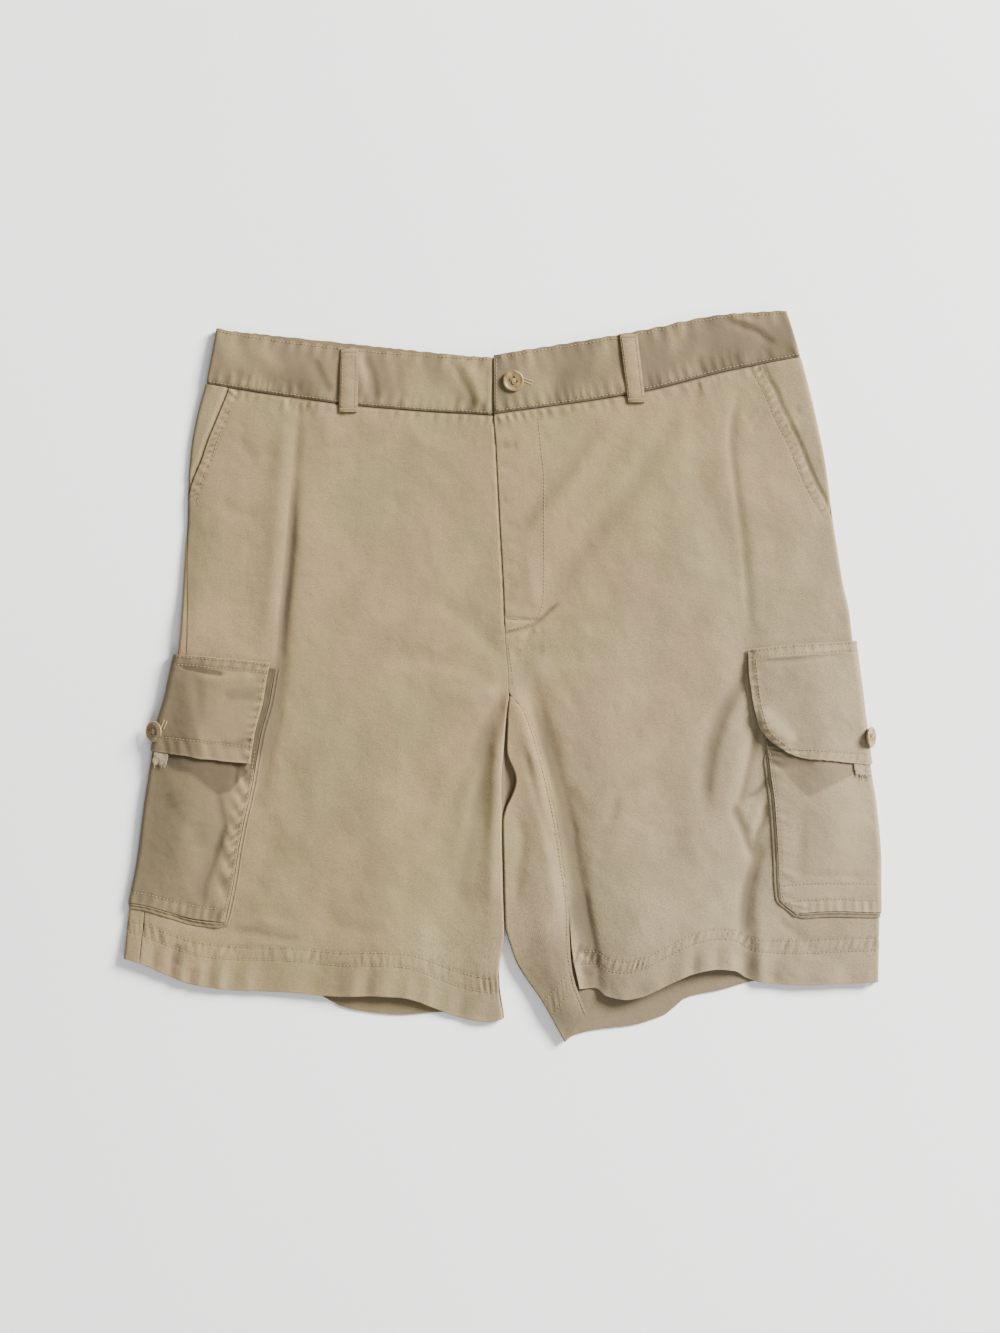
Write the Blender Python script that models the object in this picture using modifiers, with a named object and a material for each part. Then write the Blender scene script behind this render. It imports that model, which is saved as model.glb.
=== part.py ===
"""Cargo shorts laid flat on their back, front up, waist towards +Y.

Every piece of cloth is cut from one pair of surfaces, the front and the underside of each
side of the garment.  A point of them is given by an arc, in millimetres round the side fold
(0 at the fold, positive on the front, negative underneath), and by a row, which is the Y of
that row's grain line where it meets the side fold.  Lengths are in millimetres until a mesh
is made.  Right and left are the wearer's, so the right side lies at -X.
"""
import math

import bmesh
import bpy
import numpy as np
from mathutils import Matrix, Vector

MM = 0.001
CENTRE_Y = -2.75       # Y of the middle of the outline in the tables below

# Cloth
CLOTH = 1.4            # one layer of twill, turned in at its seams
HEM_CLOTH = 2.0        # the turned-up hem
BAND_CLOTH = 2.2       # waistband, folded double
LOOP_CLOTH = 1.6
SEAM_GAP = 0.4         # between two pieces sewn edge to edge
CENTRE_GAP = 0.6       # between the right and left pieces at centre front and centre back
LAY_GAP = 0.4          # between two pieces that lie on each other
UNDER = CLOTH + LAY_GAP            # how far one layer lies below the next

# Heights above the floor
FLAT_TOP = 6.2         # top of the front where it lies flat
LEAST_TOP = 5.3        # lowest that a trough may sink
LAYERS = 2 * CLOTH + 0.9           # least height of the front over the back's underside
FOLD_DEPTH = 2.6       # how far a side fold is rounded, across the garment
QUARTER_ARC = FOLD_DEPTH * math.pi / 2
ARC_EXCESS = QUARTER_ARC - FOLD_DEPTH

# Pieces laid on the legs
POCKET_LIFT = UNDER
FLAP_LIFT = 2 * UNDER
POCKET_BULGE = 1.2
FLAP_BULGE = 0.9
SWELL_WIDTH = 78.0     # of the front half of both, over which they bulge
FLAP_STANDS_OUT = 60.0 # its bulge ends this far below its edge, so the edge stands out too
GUSSET_WIDTH = 3.8
BACK_POCKET_WIDTH = 80.0
BACK_FLAP_WIDTH = 78.0
RAISE_MARGIN = 3.0
RAISE_RAMP = 15.0
POCKET_TOP_DROP = 4.0  # the pocket's mouth, below the flap's top edge

# Front opening
FLY_LAP = 5.5          # the right front runs on under the left by this much
FLY_BAR_ROW = 62.0
STEP_START = 8.0       # the right front steps down from here before centre front,
STEP_WIDTH = 6.5       # over this width,
STEP_FADE = 26.0       # and less and less over these rows above the flap's top
SHIELD_WIDTH = 38.0
SHIELD_DROP = 10.0     # its top, below the waist seam
BAND_LAP = 28.0        # the waistband's right end runs on under the left one by this much
BAND_STEP_START = 8.5
BAND_STEP_WIDTH = 7.0
FACING_WIDTH = 12.0    # hip facing beyond the pocket's slanted edge
FACING_SINK = 0.6      # it lies this much lower still, and twice that near the slant's end
FACING_STEPS = (0.0, 0.07, 0.14, 0.22, 0.34, 0.5, 0.68, 0.85, 1.0)

# Leg openings
CROTCH_CLOSE = 22.0    # rows below the crotch over which the inner fold closes
HEM_WAVE_RISE = 50.0   # rows above the hem over which its wave dies out
FLAT_RUN = 1.2         # left back beside the centre seam, above the crotch
ROLL_LIFT = 2.6        # the inner thigh stands this much over the front at the hem
TUCK_DROP = 0.8        # the front under it lies this much lower, over TUCK_WIDTH
TUCK_WIDTH = 22.0
TUCK_RISE = 20.0       # rows below the pocket's bottom over which both come in

NEAR_STATION = 60.0    # how far in from the side fold the second station of a row is
MID_STATION = 0.5
RUN_ON = 1.4           # how far past its inner end a row's last span may run, for the laps

# A row of each table below is one grain line across the front:
# row name, Y and X at the side fold, Y at the near station, Y half way, X and Y at its inner
# end (centre front above the crotch, inseam below it), arc of the side seam
SECTIONS = {
    "right": (
        ("band_top", 274.5, -228.5, 265.0, 259.0, -7.0, 251.0, 0.5),
        ("waist", 230.5, -237.0, 221.0, 213.5, -6.5, 205.0, 0.5),
        ("hip_1", 209.0, -243.0, 199.5, 193.0, -5.0, 185.0, 0.5),
        ("hip_2", 180.0, -248.5, 171.5, 165.0, -3.5, 157.0, 0.5),
        ("hip_3", 149.5, -251.0, 142.5, 136.0, -2.0, 128.0, 0.6),
        ("slant_end", 122.5, -251.5, 117.0, 110.5, -0.5, 101.5, 1.0),
        ("seat_1", 97.0, -253.5, 93.0, 85.0, 1.0, 74.5, 2.5),
        ("seat_2", 70.5, -255.0, 67.0, 59.0, 2.0, 50.5, 4.5),
        ("seat_3", 44.0, -256.5, 41.0, 33.0, 2.5, 26.5, 6.5),
        ("flap_top", 15.0, -259.0, 9.5, 3.0, 5.0, -5.5, 8.0),
        ("crotch", 7.0, -261.0, 1.5, -5.0, 5.0, -13.5, 8.2),
        ("flap_2", -17.5, -266.0, -23.0, -29.0, 3.0, -34.5, 8.8),
        ("flap_3", -41.0, -273.0, -46.5, -53.0, 1.0, -60.0, 9.4),
        ("flap_bottom", -62.5, -277.5, -70.5, -77.0, -0.5, -85.5, 10.0),
        ("pocket_2", -101.5, -284.0, -111.0, -118.5, -1.0, -127.0, 11.0),
        ("pocket_3", -153.5, -291.0, -165.5, -172.0, 0.0, -176.0, 12.5),
        ("pocket_bottom", -183.0, -297.0, -197.0, -205.5, 1.0, -207.0, 13.5),
        ("hem_top", -196.0, -299.0, -214.5, -221.0, -3.0, -237.5, 14.0),
        ("hem_bottom", -227.0, -302.5, -249.5, -257.5, 1.0, -275.0, 14.5),
    ),
    "left": (
        ("band_top", 289.0, 227.0, 284.5, 273.0, -7.0, 253.0, 0.5),
        ("waist", 252.0, 238.0, 240.5, 225.0, -6.5, 206.0, 0.5),
        ("hip_1", 228.0, 244.5, 217.5, 203.0, -5.0, 185.5, 0.5),
        ("hip_2", 198.5, 251.5, 189.5, 176.0, -3.5, 157.5, 0.5),
        ("hip_3", 165.5, 258.0, 158.5, 147.0, -2.0, 129.0, 0.5),
        ("slant_end", 122.5, 263.5, 117.5, 111.0, -0.5, 102.5, 0.5),
        ("seat_1", 100.0, 267.0, 96.0, 88.0, 1.0, 75.0, 0.5),
        ("seat_2", 72.0, 271.5, 69.0, 61.0, 2.0, 51.0, 0.5),
        ("seat_3", 47.0, 277.0, 45.0, 36.0, 2.5, 26.5, 0.5),
        ("flap_top", 25.5, 279.0, 21.5, 10.5, 5.0, -5.5, 0.5),
        ("crotch", 16.0, 280.0, 13.0, 1.5, 5.0, -13.5, 0.5),
        ("flap_2", -13.5, 284.0, -17.0, -26.5, 19.5, -33.0, 0.5),
        ("flap_3", -39.0, 287.0, -43.0, -53.0, 28.5, -60.0, 0.5),
        ("flap_bottom", -73.0, 291.5, -68.0, -79.0, 35.0, -85.0, 0.5),
        ("pocket_2", -111.0, 297.5, -110.5, -117.5, 43.0, -121.5, 0.5),
        ("pocket_3", -154.5, 300.5, -154.5, -161.0, 48.0, -156.0, 0.5),
        ("pocket_bottom", -190.5, 300.5, -191.0, -195.0, 52.5, -193.5, 0.5),
        ("hem_top", -209.5, 300.5, -212.0, -204.0, 55.0, -223.0, 0.5),
        ("hem_bottom", -246.5, 300.5, -249.0, -237.0, 61.0, -252.0, 0.5),
    ),
}

# Centre front and centre back, from the waistband's top down to the crotch: Y, X
CENTRE_LINE = (
    (255.0, -7.0), (206.0, -6.5), (185.0, -5.0), (157.0, -3.5), (128.5, -2.0),
    (102.0, -0.5), (75.0, 1.0), (51.0, 2.0), (26.5, 2.5), (-5.5, 5.0), (-13.5, 5.0),
)

# The left leg's inner thigh turns over to the front, from the crotch down: row, X and Y of its
# fold, X and Y of the inseam where the turned-over back ends
LEFT_THIGH = (
    (16.0, 6.4, -13.5, 5.2, -13.5),
    (-13.5, 4.5, -33.0, 19.5, -33.0),
    (-39.0, 3.4, -60.0, 28.5, -60.0),
    (-73.0, 10.5, -85.5, 35.0, -85.0),
    (-111.0, 1.0, -119.0, 43.0, -121.5),
    (-154.5, 1.7, -156.0, 48.0, -156.0),
    (-190.5, 2.6, -199.0, 52.5, -193.5),
    (-200.0, 9.0, -227.0, 52.5, -212.0),
    (-209.5, 31.0, -261.5, 54.0, -235.0),
    (-246.5, 49.5, -294.5, 66.0, -272.0),
)

# Bottom edges of the legs, from the side fold inwards: X, Y
HEM_EDGES = {
    ("right", "front"): (
        (-302.5, -227.5), (-290.0, -231.0), (-271.5, -239.0), (-249.0, -248.0), (-215.0, -253.0),
        (-172.5, -254.5), (-129.0, -258.0), (-107.5, -257.5), (-79.5, -259.0), (-56.5, -266.5),
        (-43.5, -272.0), (-22.0, -277.5), (-11.5, -278.5), (1.0, -276.0),
    ),
    ("right", "back"): (
        (-302.5, -227.5), (-242.0, -234.5), (-172.5, -247.0), (-145.0, -257.5), (-129.0, -266.5),
        (-116.5, -269.5), (-82.0, -273.0), (-50.0, -271.0), (-26.0, -272.0), (1.0, -275.0),
    ),
    ("left", "front"): (
        (60.0, -252.0), (74.0, -251.5), (83.0, -257.5), (98.0, -260.0), (111.0, -257.5),
        (132.0, -248.0), (153.0, -239.0), (171.0, -236.0), (185.5, -237.5), (195.0, -243.5),
        (209.0, -247.0), (239.0, -249.0), (271.5, -247.5), (293.0, -247.0), (300.5, -246.5),
    ),
    ("left", "back"): (
        (49.5, -294.5), (57.0, -289.5), (74.0, -285.0), (106.0, -281.0), (119.0, -277.0),
        (130.0, -273.0), (139.0, -265.5), (147.0, -259.0), (175.0, -253.0), (198.5, -246.5),
        (238.0, -243.0), (278.0, -244.0), (300.5, -246.5),
    ),
}

# Slanted edge of the hip pockets: row, distance in from the side fold
SLANT_EDGES = {
    "right": ((230.5, 19.0), (218.0, 18.0), (203.0, 15.8), (189.0, 13.0), (172.0, 9.7),
              (156.0, 4.6), (141.0, 1.0), (125.0, 0.0)),
    "left": ((252.0, 32.5), (240.0, 30.5), (229.0, 27.8), (213.0, 25.5), (189.0, 19.6),
             (172.0, 16.2), (152.0, 11.0), (137.0, 5.0), (122.0, 0.0)),
}

# Front edge of the cargo pockets and of their flaps: row, distance in from the side fold
POCKET_EDGES = {
    "right": ((15.0, 79.0), (-70.0, 80.5), (-140.0, 76.5), (-183.0, 76.0)),
    "left": ((25.5, 79.0), (-50.0, 79.0), (-155.0, 80.5), (-176.0, 79.0), (-190.5, 66.0)),
}
FLAP_EDGES = {
    "right": ((15.0, 74.0), (-41.0, 76.0), (-62.5, 77.0)),
    "left": ((25.5, 82.5), (-10.0, 84.0), (-40.0, 82.5), (-52.0, 79.5), (-62.0, 74.0), (-73.0, 65.0)),
}

# Folds of the front: name, points (X, Y) along it, rise at its start and at its end, half
# width at its start and at its end.  A negative rise is a trough.
FOLDS = (
    ("stack_right", ((-262, 20), (-280, -100), (-296, -195)), 2.5, 2.3, 45, 42),
    ("stack_left", ((275, 30), (290, -80), (300, -195)), 2.5, 2.3, 45, 42),
    ("waist_right", ((-232, 252), (-120, 236), (0, 229)), 1.5, 2.2, 20, 20),
    ("waist_left", ((0, 229), (120, 248), (232, 272)), 2.2, 1.5, 20, 20),
    ("fly", ((12, 220), (15, 130), (18, 50)), 1.6, 1.2, 24, 20),
    ("right_hip_ridge", ((-150, 215), (-163, 60), (-172, 20)), 1.6, 2.4, 22, 18),
    ("right_flap_trough", ((-162, 218), (-179, 34), (-188, -33), (-198, -101)), -0.6, -1.8, 8, 7),
    ("right_leg_crown", ((-80, 20), (-98, -100), (-98, -225)), 1.2, 5.2, 30, 27),
    ("right_side_crown", ((-150, -40), (-165, -130), (-175, -210)), 0.8, 1.8, 24, 18),
    ("right_crotch_trough", ((2, -12), (-11.5, -59), (-18, -113)), -1.2, -1.4, 5, 8),
    ("right_inner_ridge", ((-4, -45), (-6, -130), (-9, -235)), 1.2, 1.6, 8, 10),
    ("right_hem_dip", ((-44, -170), (-44, -230), (-40, -272)), -0.8, -2.6, 16, 13),
    ("right_waist_wrinkle", ((-106, 202), (-70, 180), (-50, 154)), 1.2, 0.8, 8, 8),
    ("left_main_trough", ((24, -3), (35.5, -37), (46, -75), (57, -123), (67.5, -187), (77, -250)),
     -1.2, -4.2, 5.5, 6.5),
    ("left_thigh_ridge", ((9, -22), (24, -75), (30, -140), (36, -200), (50, -262)),
     1.4, 3.4, 7, 11),
    ("left_leg_crown", ((72, 10), (98, -110), (108, -200), (106, -258)), 1.8, 4.6, 24, 20),
    ("left_hem_arch", ((150, -170), (152, -205), (153, -240)), 2.0, 5.4, 28, 22),
    ("left_side_crown", ((150, 110), (168, -20), (168, -120)), 1.6, 2.2, 34, 26),
    ("left_side_trough", ((158, 218), (163, 154), (186, 58), (196, -6), (204, -70), (206, -142)),
     -1.2, -2.4, 10, 8),
    ("left_hem_crease", ((197, -170), (195, -210), (193, -247)), -1.6, -4.4, 6, 6),
    ("left_clip_trough", ((152, 220), (155, 160)), -1.2, -0.6, 5, 6),
    ("left_seat_ridge", ((75, 196), (45, 150), (34, 122)), 1.0, 0.6, 9, 9),
)

# How many steps the rows take between two named rows.  The lowest three rows of a panel, the
# first ones of its grid, hold the turned-up hem.
HEM_ROWS = range(0, 3)
ROW_STEPS = (
    ("waist", "slant_end", 4),
    ("slant_end", "flap_top", 4),
    ("flap_top", "flap_bottom", 7),
    ("flap_bottom", "pocket_bottom", 5),
    ("pocket_bottom", "hem_top", 1),
    ("hem_top", "hem_bottom", 2),
)

# Columns: arcs round the side fold, distances in under the pocket, and in from the inner end
# (of the waistband, past centre front)
FOLD_ARCS = (0.12, QUARTER_ARC / 3, QUARTER_ARC * 2 / 3, QUARTER_ARC)
SIDE_DEPTHS = (9.0, 20.0, 34.0, 49.0, 64.0, 78.0, 84.5, 93.0)
SIDE_ZONE = 93.0
FRONT_INNER = {
    "right": (48.0, 30.0, 20.0, 12.5, 7.0, 2.6, 1.3, 0.4, 0.12),
    "left": (52.0, 37.0, 28.0, 21.0, 15.0, 9.0, 4.0, 0.0),
}
BAND_INNER = {
    "right": (BAND_LAP, BAND_LAP - 12.0, 1.0, -1.5, -4.5, -8.5, -14.0, -28.0),
    "left": (0.0, -8.0, -25.0),
}
BACK_INNER = (30.0, 12.0, 2.6, 1.3, 0.35, 0.01)
BACK_UNDER_POCKET = (9.0, 24.0, 42.0, 60.0, 77.5, 85.0, 99.0)
MIDDLE_COLUMNS = 4
BACK_MIDDLE_COLUMNS = 3
WRAP_STEPS = (0.012, 0.03, 0.06, 0.2, 0.4, 0.6, 0.8, 1.0)
SEAM_STEPS = {"right": (1.0, 0.6, 0.3), "left": (1.0,)}

# Belt loops: corners at their top and bottom, as X of each edge and Y
BELT_LOOPS = {
    "right": ((-129.0, -114.0, 258.0), (-130.5, -115.0, 207.5)),
    "left": ((92.5, 107.5, 270.0), (99.5, 114.0, 215.5)),
}
LOOP_ARCH = 0.9
LOOP_ROWS = 7

# Buttons
BUTTON_RADIUS = 8.4
BUTTON_HEIGHT = 2.6
BUTTON_RIM = 1.5
BUTTON_SIDES = 22
HOLE_RADIUS = 0.95
HOLE_SPACING = 1.9
HOLE_SIDES = 6
WAIST_BUTTON = (8.5, 232.0)
FLAP_BUTTONS = {"right": (-47.0, 1.75), "left": (-51.5, 1.1)}   # row, arc
TAB_SIZE = (11.0, 8.5)
TAB_START = 2.7        # arc of its edge nearest the side fold
TAB_CLOTH = 1.0

CLOTH_COLOUR = (0.50, 0.42, 0.29)
FACING_COLOUR = (0.46, 0.38, 0.26)
TAB_COLOUR = (0.74, 0.70, 0.62)
HORN_COLOUR = (0.55, 0.44, 0.27)


# ---------------------------------------------------------------- curves and rows

def smooth_step(t):
    t = np.clip(t, 0.0, 1.0)
    return t * t * (3.0 - 2.0 * t)


def smooth_curve(xs, ys, at):
    """Cubic curve through points, without overshoot; xs rise."""
    xs = np.asarray(xs, float)
    ys = np.asarray(ys, float)
    step = np.diff(xs)
    slope = np.diff(ys) / step
    tangent = np.empty_like(ys)
    tangent[0] = slope[0]
    tangent[-1] = slope[-1]
    product = slope[:-1] * slope[1:]
    total = slope[:-1] + slope[1:]
    total = np.where(total == 0.0, 1.0, total)
    tangent[1:-1] = np.where(product > 0.0, 2.0 * product / total, 0.0)
    at = np.clip(np.asarray(at, float), xs[0], xs[-1])
    i = np.clip(np.searchsorted(xs, at) - 1, 0, len(step) - 1)
    t = (at - xs[i]) / step[i]
    h = step[i]
    low = (1 + 2 * t) * (1 - t) ** 2 * ys[i] + t * (1 - t) ** 2 * h * tangent[i]
    high = t * t * (3 - 2 * t) * ys[i + 1] + t * t * (t - 1) * h * tangent[i + 1]
    return low + high


def table_curve(rows, key, value, at):
    """Column `value` of a table as a smooth curve over its column `key`."""
    points = sorted((row[key], row[value]) for row in rows)
    return smooth_curve([p[0] for p in points], [p[1] for p in points], at)


def named_row(side, name):
    return next(row[1] for row in SECTIONS[side] if row[0] == name)


def rows_between(side, first, last):
    """The rows of a side's grids from one named row down to another."""
    rows = [named_row(side, first)]
    inside = False
    for start, end, steps in ROW_STEPS:
        inside = inside or start == first
        if inside:
            a = named_row(side, start)
            b = named_row(side, end)
            rows += [a + (b - a) * k / steps for k in range(1, steps + 1)]
        if end == last:
            break
    return rows


def inward(side):
    """The direction of X from the side fold towards the centre."""
    return 1.0 if side == "right" else -1.0


def centre_x(y):
    return table_curve(CENTRE_LINE, 0, 1, y)


def outer_x(side, row):
    return table_curve(SECTIONS[side], 1, 2, row)


def seam_arc(side, row):
    return table_curve(SECTIONS[side], 1, 7, row)


def front_end(side, row):
    """Inner end of a front row: centre front, or the inseam below the crotch."""
    x = table_curve(SECTIONS[side], 1, 5, row)
    y = table_curve(SECTIONS[side], 1, 6, row)
    above = row >= named_row(side, "crotch")
    gap = 2 * SEAM_GAP if side == "left" else 0.0
    below = named_row(side, "crotch") - row
    x = np.where(above, centre_x(y), x + gap * smooth_step(below / 8.0))
    if side == "right":
        x = x - CENTRE_GAP * (1.0 - smooth_step(below / 10.0))
    return x, y


def back_end(side, row):
    """Inner end of an underside row: centre back, or the inner fold below the crotch."""
    if side == "right":
        return front_end(side, row)
    above = row >= named_row(side, "crotch")
    y = table_curve(SECTIONS[side], 1, 6, row)
    x = centre_x(y) + SEAM_GAP / 2 + FLAT_RUN
    thigh_x = table_curve(LEFT_THIGH, 0, 1, row)
    thigh_y = table_curve(LEFT_THIGH, 0, 2, row)
    return np.where(above, x, thigh_x), np.where(above, y, thigh_y)


def row_across(f, near, y0, y1, y2, y3):
    """Y along a row at fraction f, through its stations at 0, near, half way and 1."""
    slope0 = (y1 - y0) / near
    slope1 = (y2 - y1) / (MID_STATION - near)
    slope2 = (y3 - y2) / (1.0 - MID_STATION)
    slope01 = 0.5 * (slope0 + slope1)
    slope12 = 0.5 * (slope1 + slope2)
    spans = ((0.0, near, y0, y1, slope0, slope01, 1.0),
             (near, MID_STATION, y1, y2, slope01, slope12, 1.0),
             (MID_STATION, 1.0, y2, y3, slope12, slope2, RUN_ON))
    y = np.zeros_like(f)
    for start, end, ya, yb, ma, mb, last in spans:
        h = end - start
        t = np.clip((f - start) / h, 0.0, last)
        cubic = ((1 + 2 * t) * (1 - t) ** 2 * ya + t * (1 - t) ** 2 * h * ma
                 + t * t * (3 - 2 * t) * yb + t * t * (t - 1) * h * mb)
        y = np.where(f >= start, cubic, y)
    return y


def front_width(side, row):
    """Width of a front row, from the side fold to its inner end."""
    return np.abs(front_end(side, row)[0] - outer_x(side, row))


def back_width(side, row):
    return np.abs(back_end(side, row)[0] - outer_x(side, row))


def hem_wave(side, row):
    """How much of the hem's wave a row takes on, 1 at the hem."""
    return smooth_step((named_row(side, "hem_top") + HEM_WAVE_RISE - row) / HEM_WAVE_RISE)


def hem_part(side, row):
    """0 above the bottom of the pocket and 1 at the hem, for what changes only there."""
    return smooth_step((named_row(side, "pocket_bottom") - row) / TUCK_RISE)


def plain_front(side, depth, row):
    end_y = front_end(side, row)[1]
    start_x = outer_x(side, row)
    width = front_width(side, row)
    near_y = table_curve(SECTIONS[side], 1, 3, row)
    mid_y = table_curve(SECTIONS[side], 1, 4, row)
    y = row_across(depth / width, NEAR_STATION / width, row, near_y, mid_y, end_y)
    return start_x + inward(side) * depth, y


def plain_back(side, depth, row):
    end_y = back_end(side, row)[1]
    y = row + (end_y - row) * depth / back_width(side, row)
    return outer_x(side, row) + inward(side) * depth, y


def plan(side, face, depth, row):
    """X and Y of a point `depth` in from the side fold; the hem's wave fades in below."""
    plain = plain_front if face == "front" else plain_back
    x, y = plain(side, depth, row)
    hem_x, hem_y = plain(side, depth, np.full_like(row, named_row(side, "hem_bottom")))
    wave = table_curve(HEM_EDGES[(side, face)], 0, 1, hem_x) - hem_y
    return x, y + wave * hem_wave(side, row)


# ---------------------------------------------------------------- the surface

def fold_shape(x, y, points, rise, rise_end, width, width_end):
    """A soft ridge or trough along a polyline."""
    best = np.full(x.shape, 1e9)
    along = np.zeros(x.shape)
    steps = np.linspace(0.0, 1.0, len(points))
    for k in range(len(points) - 1):
        (xa, ya), (xb, yb) = points[k], points[k + 1]
        dx, dy = xb - xa, yb - ya
        t = np.clip(((x - xa) * dx + (y - ya) * dy) / (dx * dx + dy * dy), 0.0, 1.0)
        distance = np.hypot(x - xa - t * dx, y - ya - t * dy)
        nearer = distance < best
        best = np.where(nearer, distance, best)
        along = np.where(nearer, steps[k] + t * (steps[k + 1] - steps[k]), along)
    height = rise + (rise_end - rise) * along
    sigma = width + (width_end - width) * along
    return height * np.exp(-0.5 * (best / sigma) ** 2)


def top_height(x, y, least=LEAST_TOP):
    """Height of the front's outer face above the floor, never under `least`."""
    z = np.full(x.shape, FLAT_TOP)
    for _name, points, rise, rise_end, width, width_end in FOLDS:
        z = z + fold_shape(x, y, points, rise, rise_end, width, width_end)
    over = z - least
    return least + 0.5 * (over + np.sqrt(over * over + 0.6))


def patch(arc, row, width, top, bottom):
    """1 underneath a piece that lies on the back, fading to 0 round it."""
    across = smooth_step((width + RAISE_MARGIN + RAISE_RAMP + arc) / RAISE_RAMP)
    above = smooth_step((top + RAISE_MARGIN + RAISE_RAMP - row) / RAISE_RAMP)
    below = smooth_step((row - bottom + RAISE_MARGIN + RAISE_RAMP) / RAISE_RAMP)
    return across * above * below


def low_height(side, arc, row):
    """Height of the back's outer face, raised where pocket and flap lie under it."""
    arc = np.minimum(arc, 0.0)
    flap_top = named_row(side, "flap_top")
    pocket = patch(arc, row, BACK_POCKET_WIDTH + GUSSET_WIDTH, flap_top,
                   named_row(side, "pocket_bottom") - GUSSET_WIDTH)
    flap = patch(arc, row, BACK_FLAP_WIDTH, flap_top, named_row(side, "flap_bottom"))
    return POCKET_LIFT * pocket + (FLAP_LIFT - POCKET_LIFT) * flap * pocket


def fold_depth(arc):
    """Distance in from the side fold of a point `arc` along it."""
    bent = FOLD_DEPTH * (1.0 - np.cos(np.clip(arc, 0.0, QUARTER_ARC) / FOLD_DEPTH))
    return np.where(arc < QUARTER_ARC, bent, arc - ARC_EXCESS)


def fold_arc(depth):
    """The reverse of fold_depth, past the rounded part."""
    return depth + ARC_EXCESS


def rounding(depth):
    """0 at a fold and 1 where the cloth lies flat again."""
    t = np.clip(depth / FOLD_DEPTH, 0.0, 1.0)
    return np.sqrt(np.clip(1.0 - (1.0 - t) ** 2, 0.0, 1.0))


def closing(side, row):
    """0 above the crotch and 1 where the leg's inner fold is closed."""
    return smooth_step((named_row(side, "crotch") - row) / CROTCH_CLOSE)


def surface(side, arc, row):
    """Points of the garment's outer surface."""
    arc, row = np.broadcast_arrays(np.asarray(arc, float), np.asarray(row, float))
    front = arc >= 0.0
    depth = fold_depth(np.abs(arc))
    front_x, front_y = plan(side, "front", depth, row)
    back_x, back_y = plan(side, "back", depth, row)
    x = np.where(front, front_x, back_x)
    y = np.where(front, front_y, back_y)
    below = low_height(side, -np.abs(arc), row)
    top = top_height(x, y, np.maximum(LEAST_TOP, below + LAYERS))
    low = low_height(side, arc, row)
    inner_depth = np.where(front, front_width(side, row), back_width(side, row)) - depth
    inner = closing(side, row) * (1.0 - rounding(inner_depth))
    if side == "left":
        inner = np.where(front, 0.0, inner)
    turn = 0.5 * (top - low) * (1.0 - rounding(depth) + inner)
    z = np.where(front, top - turn, low + turn)
    return np.stack([x, y, z], axis=-1)


def outward(side, arc, row):
    """Unit normals of the surface, out of the garment."""
    arc, row = np.broadcast_arrays(np.asarray(arc, float), np.asarray(row, float))
    along = surface(side, arc + 0.05, row) - surface(side, arc - 0.05, row)
    down = surface(side, arc, row + 0.5) - surface(side, arc, row - 0.5)
    normal = np.cross(along, down) * inward(side)
    return normal / np.linalg.norm(normal, axis=-1, keepdims=True)


def moved_out(side, arc, row, lift):
    """Points of the surface, moved out of the garment by `lift`."""
    lift = np.asarray(lift, float)
    if lift.ndim:
        lift = lift[..., None]
    return surface(side, arc, row) + outward(side, arc, row) * lift


def thigh_points(steps, row):
    """The left back where it turns over the inner thigh, as fractions of the turned width."""
    row, steps = np.broadcast_arrays(np.asarray(row, float), np.asarray(steps, float))
    fold_x, fold_y = back_end("left", row)
    hem_x, hem_y = back_end("left", np.full_like(row, named_row("left", "hem_bottom")))
    edge_y = table_curve(HEM_EDGES[("left", "back")], 0, 1, hem_x)
    fold_y = fold_y + hem_wave("left", row) * (edge_y - hem_y)
    above = row >= named_row("left", "crotch")
    seam_x = np.where(above, fold_x - FLAT_RUN, table_curve(LEFT_THIGH, 0, 3, row))
    seam_y = np.where(above, fold_y, table_curve(LEFT_THIGH, 0, 4, row))
    x = fold_x + (seam_x - fold_x) * steps
    y = fold_y + (seam_y - fold_y) * steps
    width = np.hypot(seam_x - fold_x, seam_y - fold_y)
    top = top_height(x, y)
    close = closing("left", row)
    lifted = top - 0.5 * top * (1.0 - rounding(steps * width))
    lifted = lifted + ROLL_LIFT * hem_part("left", row) * smooth_step(steps)
    flat_x = fold_x - FLAT_RUN * steps
    x = flat_x + (x - flat_x) * close
    y = fold_y + (y - fold_y) * close
    return np.stack([x, y, lifted * close], axis=-1)


# ---------------------------------------------------------------- meshes

def make_material(name, colour, roughness=0.9, metallic=0.0):
    material = bpy.data.materials.new(name)
    material.use_nodes = True
    shader = material.node_tree.nodes["Principled BSDF"]
    shader.inputs["Base Color"].default_value = (*colour, 1.0)
    shader.inputs["Roughness"].default_value = roughness
    shader.inputs["Metallic"].default_value = metallic
    return material


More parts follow.
